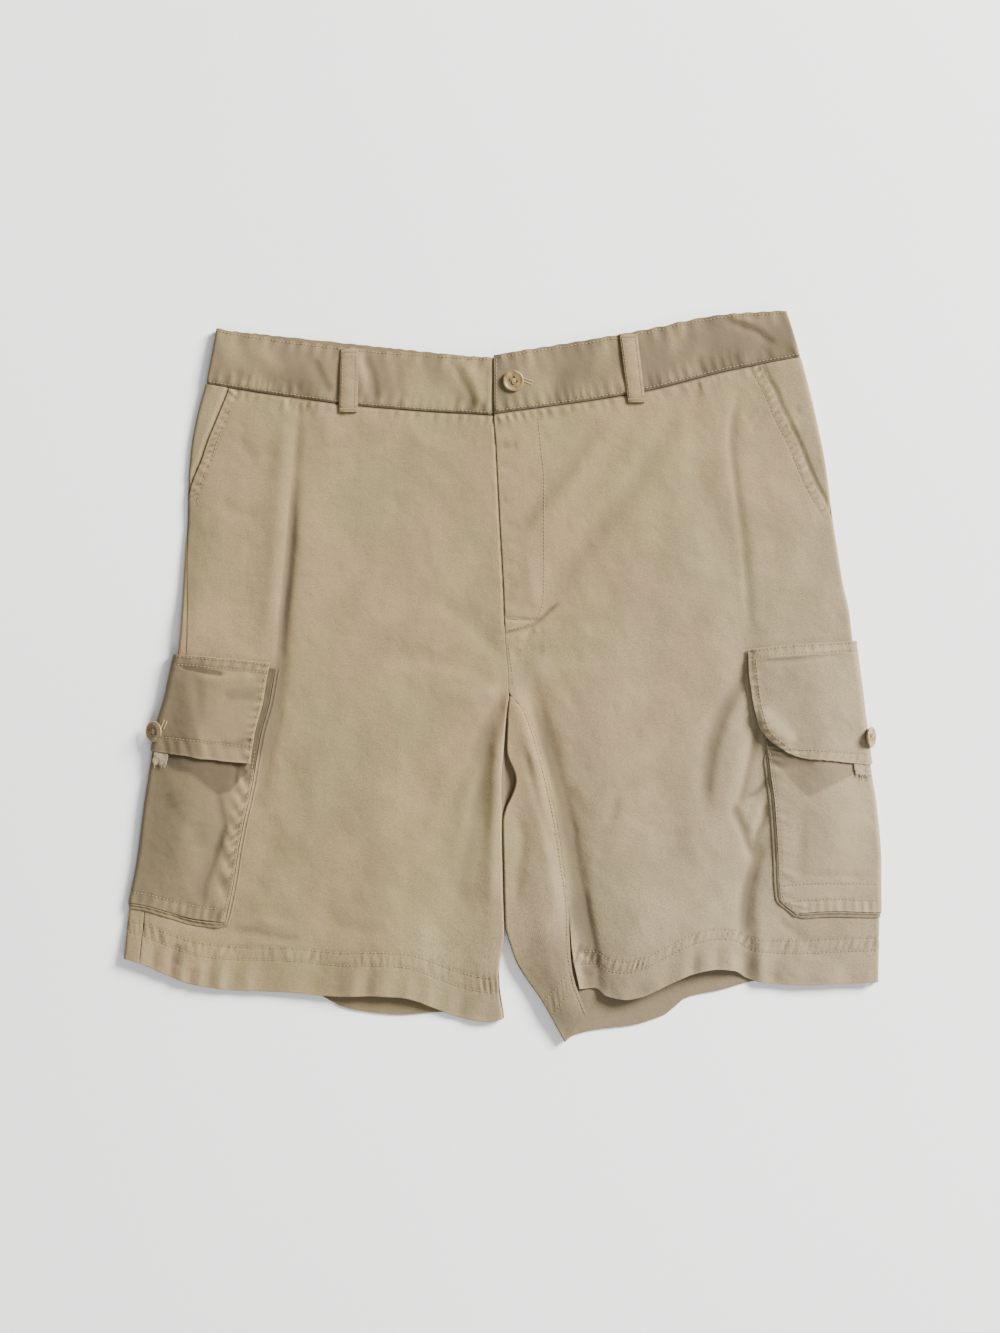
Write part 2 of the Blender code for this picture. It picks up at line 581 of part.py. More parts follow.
def cloth_sheet(name, points, side, thickness=CLOTH, colour=CLOTH_COLOUR, hem=0.0):
    """A wall of cloth under a grid of outer points, as rows of columns; `hem` is the thickness
    of its lowest rows where they are thicker."""
    rows, columns = points.shape[:2]
    mesh = bpy.data.meshes.new(name)
    grid = bmesh.new()
    bmesh.ops.create_grid(grid, x_segments=columns - 1, y_segments=rows - 1, size=1.0)
    places = []
    for vertex in grid.verts:
        column = round((vertex.co.x + 1) / 2 * (columns - 1))
        row = round((vertex.co.y + 1) / 2 * (rows - 1))
        places.append(row)
        vertex.co = Vector((points[row, column] - (0.0, CENTRE_Y, 0.0)) * MM)
    grid.normal_update()
    if side == "left":
        bmesh.ops.reverse_faces(grid, faces=grid.faces)
    grid.to_mesh(mesh)
    grid.free()
    sheet = bpy.data.objects.new(name, mesh)
    bpy.data.collections["cargo_shorts"].objects.link(sheet)
    wall = sheet.modifiers.new("Wall", "SOLIDIFY")
    wall.offset = -1.0
    wall.use_rim = True
    wall.thickness = max(thickness, hem) * MM
    if hem:
        group = sheet.vertex_groups.new(name="hem")
        group.add([k for k, row in enumerate(places) if row in HEM_ROWS], 1.0, "REPLACE")
        wall.vertex_group = "hem"
        wall.thickness_vertex_group = thickness / hem
    mesh.shade_smooth()
    mesh.materials.append(make_material(name, colour))
    return sheet


def as_rows(rows):
    """Rows bottom first, as a column, so that a grid's faces point out of the garment."""
    return np.array(sorted(rows), float)[:, None]


# ---------------------------------------------------------------- the pieces

def front_columns(side, row, lap=0.0):
    """Arcs of a front panel's columns along one row."""
    slant = float(table_curve(SLANT_EDGES[side], 0, 1, row))
    start = seam_start(side, row)
    if slant > 0.0:
        start = max(start, float(slant_arc(slant)))
    zone = fold_arc(SIDE_ZONE)
    arcs = list(FOLD_ARCS) + [fold_arc(depth) for depth in SIDE_DEPTHS]
    arcs = [start + (zone - start) * (arc - arcs[0]) / zone for arc in arcs]
    width = float(front_width(side, row)) + lap
    inner = [fold_arc(width - depth) for depth in FRONT_INNER[side]]
    middle = np.linspace(arcs[-1], inner[0], MIDDLE_COLUMNS + 1)[1:-1]
    return arcs + list(middle) + inner


def seam_start(side, row):
    """Arc where the pieces in front of the side seam begin; walls lean together on the fold."""
    seam = float(seam_arc(side, row))
    return seam + SEAM_GAP + 0.8 * max(0.0, 1.0 - seam / QUARTER_ARC)


def slant_arc(depth):
    """Arc round the side fold of a point `depth` in, also on the rounded part."""
    if depth >= FOLD_DEPTH:
        return fold_arc(depth)
    return FOLD_DEPTH * math.acos(1.0 - depth / FOLD_DEPTH)


def fly_lap(row):
    return FLY_LAP * smooth_step((row - FLY_BAR_ROW) / 6.0)


def right_front_lift(arc, row):
    """The right front steps down where it runs under the left one."""
    past = fold_depth(arc) - front_width("right", row)
    down = smooth_step((row - named_row("right", "flap_top")) / STEP_FADE)
    return -UNDER * smooth_step((past + STEP_START) / STEP_WIDTH) * down


def left_front_lift(arc, row):
    """The left front tucks a little below the rolled thigh at its hem."""
    inner_depth = front_width("left", row) - fold_depth(arc)
    return -TUCK_DROP * hem_part("left", row) * smooth_step(1.0 - inner_depth / TUCK_WIDTH)


def panel_rows(side):
    rows = rows_between(side, "waist", "hem_bottom")
    rows[0] -= SEAM_GAP / 2
    return rows


def make_front(side):
    rows = panel_rows(side)
    row = as_rows(rows)
    lap = (lambda r: float(fly_lap(r))) if side == "right" else (lambda r: 0.0)
    arc = np.array([front_columns(side, float(r), lap(float(r))) for r in row[:, 0]])
    row = np.broadcast_to(row, arc.shape)
    lift = right_front_lift(arc, row) if side == "right" else left_front_lift(arc, row)
    points = moved_out(side, arc, row, lift)
    return cloth_sheet(f"front_{side}", points, side, hem=HEM_CLOTH)


def back_columns(side, row):
    """Arcs of a back panel's columns, from its inner end round to the side seam."""
    seam = float(seam_arc(side, row))
    width = float(back_width(side, row))
    inner = [-fold_arc(width - depth) for depth in BACK_INNER]
    inner.reverse()
    under = [-fold_arc(depth) for depth in BACK_UNDER_POCKET]
    middle = np.linspace(under[-1], inner[-1], BACK_MIDDLE_COLUMNS + 1)[1:-1]
    fold = [-QUARTER_ARC, -QUARTER_ARC * 2 / 3, -QUARTER_ARC / 3, 0.0]
    wrap = [seam * step for step in reversed(SEAM_STEPS[side])]
    return inner + list(reversed(middle)) + list(reversed(under)) + fold + wrap


def make_back(side):
    rows = panel_rows(side)
    row = as_rows(rows)
    arc = np.array([back_columns(side, float(r)) for r in row[:, 0]])
    points = surface(side, arc, np.broadcast_to(row, arc.shape))
    if side == "left":
        steps = np.array(WRAP_STEPS)[::-1][None, :]
        points = np.concatenate([thigh_points(steps, row), points], axis=1)
    return cloth_sheet(f"back_{side}", points, side, hem=HEM_CLOTH)


def make_hip_facing(side):
    """The pocket's back wall, which shows between the slanted edge and the side seam."""
    end = named_row(side, "slant_end")
    row = as_rows(r for r in panel_rows(side) if r >= end - 1.0)
    arcs = []
    lifts = []
    for r in row[:, 0]:
        slant = float(table_curve(SLANT_EDGES[side], 0, 1, r))
        start = seam_start(side, r)
        arc = start + (fold_arc(slant + FACING_WIDTH) - start) * np.array(FACING_STEPS)
        arcs.append(arc)
        sink = FACING_SINK * (1.0 + smooth_step((end + 30.0 - r) / 25.0))
        under = smooth_step((fold_depth(arc) - slant + 9.0) / 7.0)
        lifts.append(-(UNDER + sink) * under)
    arc = np.array(arcs)
    points = moved_out(side, arc, np.broadcast_to(row, arc.shape), np.array(lifts))
    return cloth_sheet(f"hip_facing_{side}", points, side, colour=FACING_COLOUR)


def make_fly_shield():
    """The strip behind the fly, sewn to the edge of the right front."""
    row = np.linspace(FLY_BAR_ROW + 4.0, named_row("left", "waist") - SHIELD_DROP, 8)[:, None]
    inner = np.array((SHIELD_WIDTH, 28.0, 18.0, 11.0, FLY_LAP + 2 * SEAM_GAP))
    arc = fold_arc(front_width("left", row) - inner[None, :])
    points = moved_out("left", arc, np.broadcast_to(row, arc.shape), -UNDER)
    return cloth_sheet("fly_shield", points, "left", colour=FACING_COLOUR)


def band_lift(side, arc, row):
    """The right end of the waistband steps down under the left one."""
    if side == "left":
        return np.zeros_like(arc)
    past = fold_depth(np.abs(arc)) - front_width("right", row)
    step = smooth_step((past + BAND_STEP_START) / BAND_STEP_WIDTH)
    return np.where(arc > 0.0, -(BAND_CLOTH + 2 * LAY_GAP) * step, 0.0)


def make_waistband(side):
    """One half of the waistband, from the front opening round the side to centre back."""
    bottom = named_row(side, "waist") + SEAM_GAP / 2
    top = named_row(side, "band_top")
    row = np.linspace(bottom, top, 4)[:, None]
    back_gap = FLAT_RUN if side == "left" else 0.0
    fold = [QUARTER_ARC * k / 3 for k in (3, 2, 1, 0, -1, -2, -3)]
    arcs = []
    for r in row[:, 0]:
        front = float(front_width(side, r))
        back = float(back_width(side, r))
        inner = [fold_arc(front + past) for past in BAND_INNER[side]]
        front_run = list(np.linspace(inner[-1], fold[0], 12)[1:-1])
        back_run = list(np.linspace(fold[-1], -fold_arc(back + back_gap), 9)[1:])
        arcs.append(inner + front_run + fold + back_run)
    arc = np.array(arcs)[:, ::-1]
    row = np.broadcast_to(row, arc.shape)
    points = moved_out(side, arc, row, band_lift(side, arc, row))
    return cloth_sheet(f"waistband_{side}", points, side, thickness=BAND_CLOTH)


def swell(arc, row, width, top, bottom):
    """1 in the middle of a pocket's front half, `width` wide, 0 at its edges and the side fold."""
    across = np.clip((arc - QUARTER_ARC) / width, 0.0, 1.0)
    down = np.clip((top - row) / (top - bottom), 0.0, 1.0)
    return np.sin(np.pi * across) * np.sin(np.pi * down)


def pocket_lift(side, arc, row):
    top = named_row(side, "flap_top")
    bulge = swell(arc, row, SWELL_WIDTH, top, named_row(side, "pocket_bottom"))
    return POCKET_LIFT + POCKET_BULGE * bulge


def flap_lift(side, arc, row):
    bottom = named_row(side, "flap_bottom") - FLAP_STANDS_OUT
    bulge = swell(arc, row, SWELL_WIDTH, named_row(side, "flap_top"), bottom)
    return pocket_lift(side, arc, row) + UNDER + FLAP_BULGE * bulge


def patch_columns(side, row, edges, back_width):
    """Arcs of a piece that wraps the side fold, from its back edge to its front edge."""
    fold = [QUARTER_ARC * k / 3 for k in (-3, -2, -1, 0, 1, 2, 3)]
    edge = fold_arc(float(table_curve(edges[side], 0, 1, row)))
    back = [-fold_arc(back_width * k) for k in (1.0, 0.77, 0.54, 0.31, 0.12)]
    front = [QUARTER_ARC + (edge - QUARTER_ARC) * k for k in (0.09, 0.23, 0.41, 0.6, 0.8, 1.0)]
    return back + fold + front


def make_cargo_pocket(side):
    rows = rows_between(side, "flap_top", "pocket_bottom")
    rows[0] -= POCKET_TOP_DROP
    row = as_rows(rows)
    columns = [patch_columns(side, float(r), POCKET_EDGES, BACK_POCKET_WIDTH) for r in row[:, 0]]
    arc = np.array(columns)
    row = np.broadcast_to(row, arc.shape)
    points = moved_out(side, arc, row, pocket_lift(side, arc, row))
    return cloth_sheet(f"cargo_pocket_{side}", points, side)


def make_cargo_flap(side):
    row = as_rows(rows_between(side, "flap_top", "flap_bottom"))
    columns = [patch_columns(side, float(r), FLAP_EDGES, BACK_FLAP_WIDTH) for r in row[:, 0]]
    arc = np.array(columns)
    row = np.broadcast_to(row, arc.shape)
    points = moved_out(side, arc, row, flap_lift(side, arc, row))
    return cloth_sheet(f"cargo_flap_{side}", points, side)


def make_cargo_gusset(side):
    """The bellows strip that stands out round the sides and the bottom of a pocket."""
    rows = rows_between(side, "flap_top", "pocket_bottom")
    rows[0] -= POCKET_TOP_DROP
    bottom = rows[-1]
    inner_arc = []
    inner_row = []
    outer_arc = []
    outer_row = []
    width = GUSSET_WIDTH + SEAM_GAP
    for r in rows:
        edge = fold_arc(float(table_curve(POCKET_EDGES[side], 0, 1, r)))
        inner_arc.append(edge + SEAM_GAP)
        outer_arc.append(edge + width)
        inner_row.append(r)
        outer_row.append(r)
    inner_row[-1] -= SEAM_GAP
    outer_row[-1] -= width
    for arc in reversed(patch_columns(side, bottom, POCKET_EDGES, BACK_POCKET_WIDTH)[1:-1]):
        inner_arc.append(arc)
        outer_arc.append(arc)
        inner_row.append(bottom - SEAM_GAP)
        outer_row.append(bottom - width)
    for r in reversed(rows):
        inner_arc.append(-fold_arc(BACK_POCKET_WIDTH) - SEAM_GAP)
        outer_arc.append(-fold_arc(BACK_POCKET_WIDTH) - width)
        inner_row.append(r)
        outer_row.append(r)
    back_corner = len(inner_row) - len(rows)
    inner_row[back_corner] -= SEAM_GAP
    outer_row[back_corner] -= width
    arc = np.array([outer_arc, inner_arc])
    row = np.array([outer_row, inner_row])
    points = moved_out(side, arc[:, ::-1], row[:, ::-1], POCKET_LIFT)
    return cloth_sheet(f"cargo_gusset_{side}", points, side)


def make_belt_loop(side):
    (top_a, top_b, top_y), (low_a, low_b, low_y) = BELT_LOOPS[side]
    down = np.linspace(1.0, 0.0, LOOP_ROWS)[:, None]
    across = np.array((0.0, 0.5, 1.0))[None, :]
    left = top_a + (low_a - top_a) * down
    right = top_b + (low_b - top_b) * down
    x = left + (right - left) * across
    y = top_y + (low_y - top_y) * down
    x, y = np.broadcast_arrays(x, y)
    arch = LOOP_ARCH * np.sin(np.pi * down)
    z = top_height(x, y) + LAY_GAP + LOOP_CLOTH + arch
    points = np.stack([x, y, z], axis=-1)
    return cloth_sheet(f"belt_loop_front_{side}", points, "right", thickness=LOOP_CLOTH)


def make_tab(side):
    """The end of the loop that shows below a flap, under its button."""
    top = named_row(side, "flap_bottom") - SEAM_GAP
    width, length = TAB_SIZE
    arc = TAB_START + np.linspace(0.0, width, 5)[None, :]
    row = top - length + np.linspace(0.0, length, 3)[:, None]
    arc, row = np.broadcast_arrays(arc, row)
    points = moved_out(side, arc, row, pocket_lift(side, arc, row) + LAY_GAP + TAB_CLOTH)
    return cloth_sheet(f"flap_tab_{side}", points, side, thickness=TAB_CLOTH, colour=TAB_COLOUR)


def button_body(name):
    """A turned button with a raised rim and a shallow dish, base at z = 0."""
    profile = (
        (0.0, BUTTON_HEIGHT - 0.9), (BUTTON_RADIUS * 0.55, BUTTON_HEIGHT - 0.8),
        (BUTTON_RADIUS - BUTTON_RIM, BUTTON_HEIGHT - 0.1), (BUTTON_RADIUS - 0.6, BUTTON_HEIGHT),
        (BUTTON_RADIUS, BUTTON_HEIGHT - 0.8), (BUTTON_RADIUS - 0.8, 0.3), (BUTTON_RADIUS * 0.6, 0.0),
        (0.0, 0.0),
    )
    mesh = bpy.data.meshes.new(name)
    outline = bmesh.new()
    vertices = [outline.verts.new((x * MM, 0.0, z * MM)) for x, z in profile]
    for a, b in zip(vertices, vertices[1:]):
        outline.edges.new((a, b))
    outline.to_mesh(mesh)
    outline.free()
    body = bpy.data.objects.new(name, mesh)
    bpy.data.collections["cargo_shorts"].objects.link(body)
    turn = body.modifiers.new("Turn", "SCREW")
    turn.axis = "Z"
    turn.steps = BUTTON_SIDES
    turn.render_steps = BUTTON_SIDES
    turn.use_merge_vertices = True
    turn.merge_threshold = 0.00005
    turn.use_normal_calculate = True
    return body


def hole_cutter(name, matrix):
    """Four drills through a button."""
    mesh = bpy.data.meshes.new(name)
    drills = bmesh.new()
    for sx in (-1, 1):
        for sy in (-1, 1):
            spot = Vector((sx * HOLE_SPACING, sy * HOLE_SPACING, BUTTON_HEIGHT * 0.5)) * MM
            bmesh.ops.create_cone(
                drills, cap_ends=True, segments=HOLE_SIDES, radius1=HOLE_RADIUS * MM,
                radius2=HOLE_RADIUS * MM, depth=3 * BUTTON_HEIGHT * MM,
                matrix=Matrix.Translation(spot),
            )
    drills.to_mesh(mesh)
    drills.free()
    cutter = bpy.data.objects.new(name, mesh)
    bpy.data.collections["cutters"].objects.link(cutter)
    cutter.matrix_world = matrix
    cutter.hide_render = True
    cutter.display_type = "WIRE"
    return cutter


def make_button(name, place, axis):
    """A four-hole button standing on `place`, its face along `axis`."""
    turn = Vector(axis).normalized().to_track_quat("Z", "Y").to_matrix().to_4x4()
    matrix = Matrix.Translation((Vector(place) - Vector((0.0, CENTRE_Y, 0.0))) * MM) @ turn
    body = button_body(name)
    body.matrix_world = matrix
    cut = body.modifiers.new("Holes", "BOOLEAN")
    cut.operation = "DIFFERENCE"
    cut.solver = "EXACT"
    cut.object = hole_cutter(f"{name}_holes", matrix)
    body.data.materials.append(make_material(name, HORN_COLOUR, roughness=0.35))
    return body


def make_waist_button():
    x, y = WAIST_BUTTON
    ring = np.linspace(0.0, 2 * math.pi, 24, endpoint=False)
    around = top_height(x + BUTTON_RADIUS * np.cos(ring), y + BUTTON_RADIUS * np.sin(ring))
    base = max(float(around.max()), float(top_height(np.array([x]), np.array([y]))[0]))
    return make_button("waist_button", (x, y, base + LAY_GAP), (0.0, 0.0, 1.0))


def make_flap_button(side):
    row, arc = FLAP_BUTTONS[side]
    arc = np.array([arc])
    row = np.array([row])
    normal = outward(side, arc, row)[0]
    normal = normal * np.array((1.0, 0.0, 1.0))
    seat = moved_out(side, arc, row, flap_lift(side, arc, row) + 2 * LAY_GAP)[0]
    return make_button(f"flap_button_{side}", tuple(seat), tuple(normal))


def clear_scene():
    for mesh_object in list(bpy.data.objects):
        bpy.data.objects.remove(mesh_object)
    for name in ("cargo_shorts", "cutters"):
        collection = bpy.data.collections.new(name)
        bpy.context.scene.collection.children.link(collection)


def main():
    clear_scene()
    for side in ("right", "left"):
        make_front(side)
        make_back(side)
        make_waistband(side)
        make_hip_facing(side)
        make_cargo_pocket(side)
        make_cargo_gusset(side)
        make_cargo_flap(side)
        make_tab(side)
        make_belt_loop(side)
        make_flap_button(side)
    make_fly_shield()
    make_waist_button()


main()
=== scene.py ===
"""Looks of the cargo shorts: fine cloth, stitching, buttons, camera and light.

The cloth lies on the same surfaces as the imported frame.  A point of them is given by an arc, in
millimetres round the side fold (0 at the fold, positive on the front, negative underneath), and
by a row, which is the Y of that row's grain line where it meets the side fold.  Lengths are in
millimetres until a mesh is made.  Right and left are the wearer's, so the right side is at -X.
"""
import math

import bpy
import numpy as np
from mathutils import Matrix, Vector
from mathutils.bvhtree import BVHTree


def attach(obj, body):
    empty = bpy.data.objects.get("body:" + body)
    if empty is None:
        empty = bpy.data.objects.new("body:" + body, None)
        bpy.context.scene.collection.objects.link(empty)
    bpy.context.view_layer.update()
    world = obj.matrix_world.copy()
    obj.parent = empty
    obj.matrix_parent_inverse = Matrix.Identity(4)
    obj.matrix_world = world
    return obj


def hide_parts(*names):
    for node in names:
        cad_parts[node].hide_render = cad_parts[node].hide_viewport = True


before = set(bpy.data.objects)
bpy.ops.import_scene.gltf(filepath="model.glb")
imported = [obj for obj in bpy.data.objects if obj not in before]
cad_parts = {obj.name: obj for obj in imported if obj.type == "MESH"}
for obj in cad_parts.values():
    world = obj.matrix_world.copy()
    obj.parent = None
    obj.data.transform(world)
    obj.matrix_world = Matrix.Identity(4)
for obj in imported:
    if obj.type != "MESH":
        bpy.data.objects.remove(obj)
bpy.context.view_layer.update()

MM = 0.001
CENTRE_Y = -2.75       # Y of the middle of the outline in the tables below
SIDES = ("right", "left")
LOOK = "cargo_shorts_look"      # collection of all pieces

# Cloth of the frame's solids, which sets how the layers lie on each other
CLOTH = 1.4
SEAM_GAP = 0.4
CENTRE_GAP = 0.25
LAY_GAP = 0.4
UNDER = CLOTH + LAY_GAP

# Cloth as it is shown
THIN = 1.1
THIN_BAND = 2.0
THIN_HEM = 1.7
THIN_LOOP = 1.3
THIN_GUSSET = 0.55
THIN_TAB = 0.8
EDGE_ROUND = 0.42
CREASE_GAIN = 2.0
CREASE_FADE = 0.22     # part of a crease's length over which each end fades
CREASE_SHADING = 0.46     # how strongly highlight is painted on a crease's crest and shade in its trough
SHARP_CREASE = 2.5     # half width up to which it shows in full

# The folded garment: height of its front, and the round folds at its sides and inner legs
FLAT_TOP = 6.2
LEAST_TOP = 3.5
LAYERS = 2 * THIN + 0.6
FOLD_DEPTH = 2.6
INNER_FOLD = 1.0
QUARTER_ARC = FOLD_DEPTH * math.pi / 2
ARC_EXCESS = QUARTER_ARC - FOLD_DEPTH
HIDDEN_ARC = -20.0     # the back is plain further in than this
WRAP_STEPS = {"right": 12, "left": 3}      # columns from the side fold to the side seam

# Cargo pockets, flaps and gussets, and the back where they lie under it
POCKET_LIFT = UNDER
FLAP_LIFT = 2 * UNDER
POCKET_SWELL = 4.0     # how far their faces stand out in the middle
FLAP_SWELL = 3.6
GUSSET_WIDTH = 3.8
GUSSET_DOWN = 110      # points of the gusset down each side of the pocket and along its bottom
GUSSET_ALONG = 130
GUSSET_STEPS = (0.2, 1.1, 1.9, 2.6, 3.3, 3.9)            # its columns, from the pocket outwards
GUSSET_PROFILE = (0.0, -0.45, -1.15, -0.7, -0.75, -1.2)  # and how deep each lies
TUCKED = {"right": 0.0, "left": 0.88}      # how much of the gusset is folded away below the flap
BACK_POCKET_WIDTH = 80.0
BACK_FLAP_WIDTH = 78.0
RAISE_MARGIN = 3.0
RAISE_RAMP = 15.0
POCKET_TOP_DROP = 4.0

# Fly, waistband and hip pockets: where one piece laps over another and steps down under it
FLY_LAP = 5.5
FLY_BAR_ROW = 62.0
FLY_FOOT_ROWS = (48.0, 80.0)
STEP_START = 2.1
STEP_WIDTH = 1.8
STEP_ROW = 50.0
STEP_FADE = 11.0
SHIELD_WIDTH = 38.0
SHIELD_DROP = 10.0
BAND_LAP = 28.0
BAND_STEP_START = 2.4
BAND_STEP_WIDTH = 2.0
FACING_WIDTH = 12.0

# Crotch, inner thigh and hem: how far their shapes take to fade in
CROTCH_CLOSE = 22.0
THIGH_CLOSE = 9.0
HEM_WAVE_RISE = 50.0
FLAT_RUN = 1.2
ROLL_LIFT = 1.9
TUCK_DROP = 0.6
TUCK_WIDTH = 22.0
TUCK_RISE = 20.0
FINE_HEM = 42.0        # height of the finely divided hem
HEM_ROWS = 36

NEAR_STATION = 60.0    # distance from the side fold
MID_STATION = 0.5      # part of the row
RUN_ON = 1.4           # how far a row runs on past its inner end, as a part of its last span

# Gathers of the cloth beside its seams: seed, pitch, depth, how far they reach from the seam
GATHERS = {
    "hem": (21, 5.6, 0.85, 5.5),
    "hem_slack": (26, 23.0, 0.8, 16.0),
    "slant": (41, 5.8, 1.2, 4.2),
    "waist": (51, 7.0, 0.7, 6.0),
    "fly": (61, 12.0, 0.35, 8.0),
    "inseam": (95, 9.0, 0.45, 6.0),
    "facing": (101, 8.0, 0.3, 6.0),
    "band_foot": (111, 7.5, 0.75, 7.0),
    "band_top": (116, 10.0, 0.6, 9.0),
    "band_edge": (124, 13.0, 0.6, 9.0),
    "pocket_right": (131, 11.0, 0.6, 4.0),
    "pocket_slack": (134, 17.0, 0.75, 4.5),
    "pocket_bottom": (136, 7.5, 0.5, 6.0),
    "pocket_left": (141, 8.5, 0.5, 6.0),
    "gusset": (151, 6.5, 0.25, 9.0),
    "flap_right": (161, 9.0, 0.36, 7.44),
    "flap_side": (166, 7.0, 0.5, 4.5),
    "flap_top": (170, 7.5, 0.35, 4.0),
    "flap_left": (171, 6.3, 0.36, 5.208),
    "loop": (181, 8.0, 0.15, 9.0),
}
# What is added to a seed of GATHERS, so that no two pieces have the same gathers
SIDE_SEED = {"right": 0, "left": 10}
BACK_SEED = {"right": 50, "left": 60}
THIGH_SEED = 70
# Seeds of other random shapes; the waistband's has SIDE_SEED added
BAND_SEED = 120
TAB_SEED = 191
FRAY_SEED = 197

# Steps of the grids, in millimetres: coarse, fine, and how far from an edge they are fine
STEPS = {
    "panel_right": (2.5, 1.4, 6.0),
    "panel_left": (2.5, 1.2, 6.0),
    "across_right": (2.3, 1.25, 10.0),
    "across_left": (2.3, 1.1, 10.0),
    "facing": (2.2, 1.4, 5.0),
    "band": (1.9, 1.2, 4.0),
    "along_band": (2.1, 1.2, 8.0),
    "pocket": (1.7, 1.1, 14.0),
    "flap": (1.5, 0.7, 14.0),
    "across_patch": (1.5, 1.0, 8.0),
}
UNDER_STEPS = (0.028, 0.012, 0.03)      # the same for the back, as parts of its width
FRONT_LENGTH = 255.0                    # rows that a front, a waistband and a patch are divided by
FLY_START = 209.0
BAND_LENGTH = 240.0
PATCH_LENGTH = 75.0

# How worn (+) the cloth is beside an edge, or how much shade (-) is painted beside a seam and
# along the band's top, and how far from it; the side fold's entry is painted shade where the cloth
# turns away from the light
RUBS_AND_SHADES = {
    "slant_edge": (0.4, 1.0),
    "waist_seam_shade": (-0.9, 1.0),
    "hem_edge": (0.3, 1.5),
    "band_top": (-0.2, 0.8),
    "band_seam_shade": (-0.7, 0.9),
    "pocket_edge": (0.7, 1.2),
    "pocket_hem": (0.35, 1.2),
    "flap_edge": (0.75, 1.2),
    "flap_hem": (0.7, 1.2),
    "flap_top": (0.5, 1.0),
    "loop_seam_shade": (-0.5, 0.7),
    "side_fold_shade": (1.0, 15.0),
}
SEAM_WEAR_AND_SHADE = {"panel": 1.3, "band": 1.2, "patch": 1.4}      # how strongly gathers are worn pale on their crests and painted with shade in their troughs

# Mottled parts of the materials: scale, detail and roughness of the noise, its low and its high
# end, and the numbers that these become
MOTTLES = {
    "cloud": (10.0, 4.0, 0.5, 0.36, 0.64),
    "blotch": (30.0, 6.0, 0.6, 0.3, 0.7, 0.91, 1.08),
    "grain": (800.0, 3.0, 0.7, 0.3, 0.7, 0.81, 1.17),
    "sheen": (60.0, 3.0, 0.5, 0.3, 0.7, 0.84, 0.96),
    "fleck": (1400.0, 2.0, 0.5, 0.3, 0.7, 0.85, 1.1),
    "streak": (320.0, 4.0, 0.6, 0.35, 0.68),
    "floor": (1.5, 2.0, 0.5, 0.3, 0.7),
}
# How the twill answers its worn places and painted highlight (+) and its painted shade (-): low
# and high end of the value, and the numbers they become
RUBBED_AND_LIT_RAMP = (0.05, 1.0, 0.0, 0.6)
SHADED_RAMP = (-0.05, -1.0, 0.0, 0.8)
DEEP_SHADE_RAMP = (-0.95, -1.7, 1.0, 0.66)
GREY_WAY = (1.0, -0.6, 0.0)             # direction in which the cloth gets greyer
GREY_RAMP = (-0.02, 0.32, 0.0, 0.9)
RIB_RAMP = (0.0, 1.0, 0.955, 1.03)

# Soft unevenness of washed cloth: height, lean and squeeze of its bumps, their size, seed
RUMPLES = (
    (0.75, 0.3, 1.0, 46.0, 11), (0.5, -0.6, 0.5, 21.0, 12), (0.2, 0.5, 0.6, 9.0, 13),
    (0.05, 0.0, 1.0, 4.2, 14),
)
LATTICE = 97           # knots of the random lattice, which repeats after them
LATTICE_START = 500.0  # keeps lattice places positive

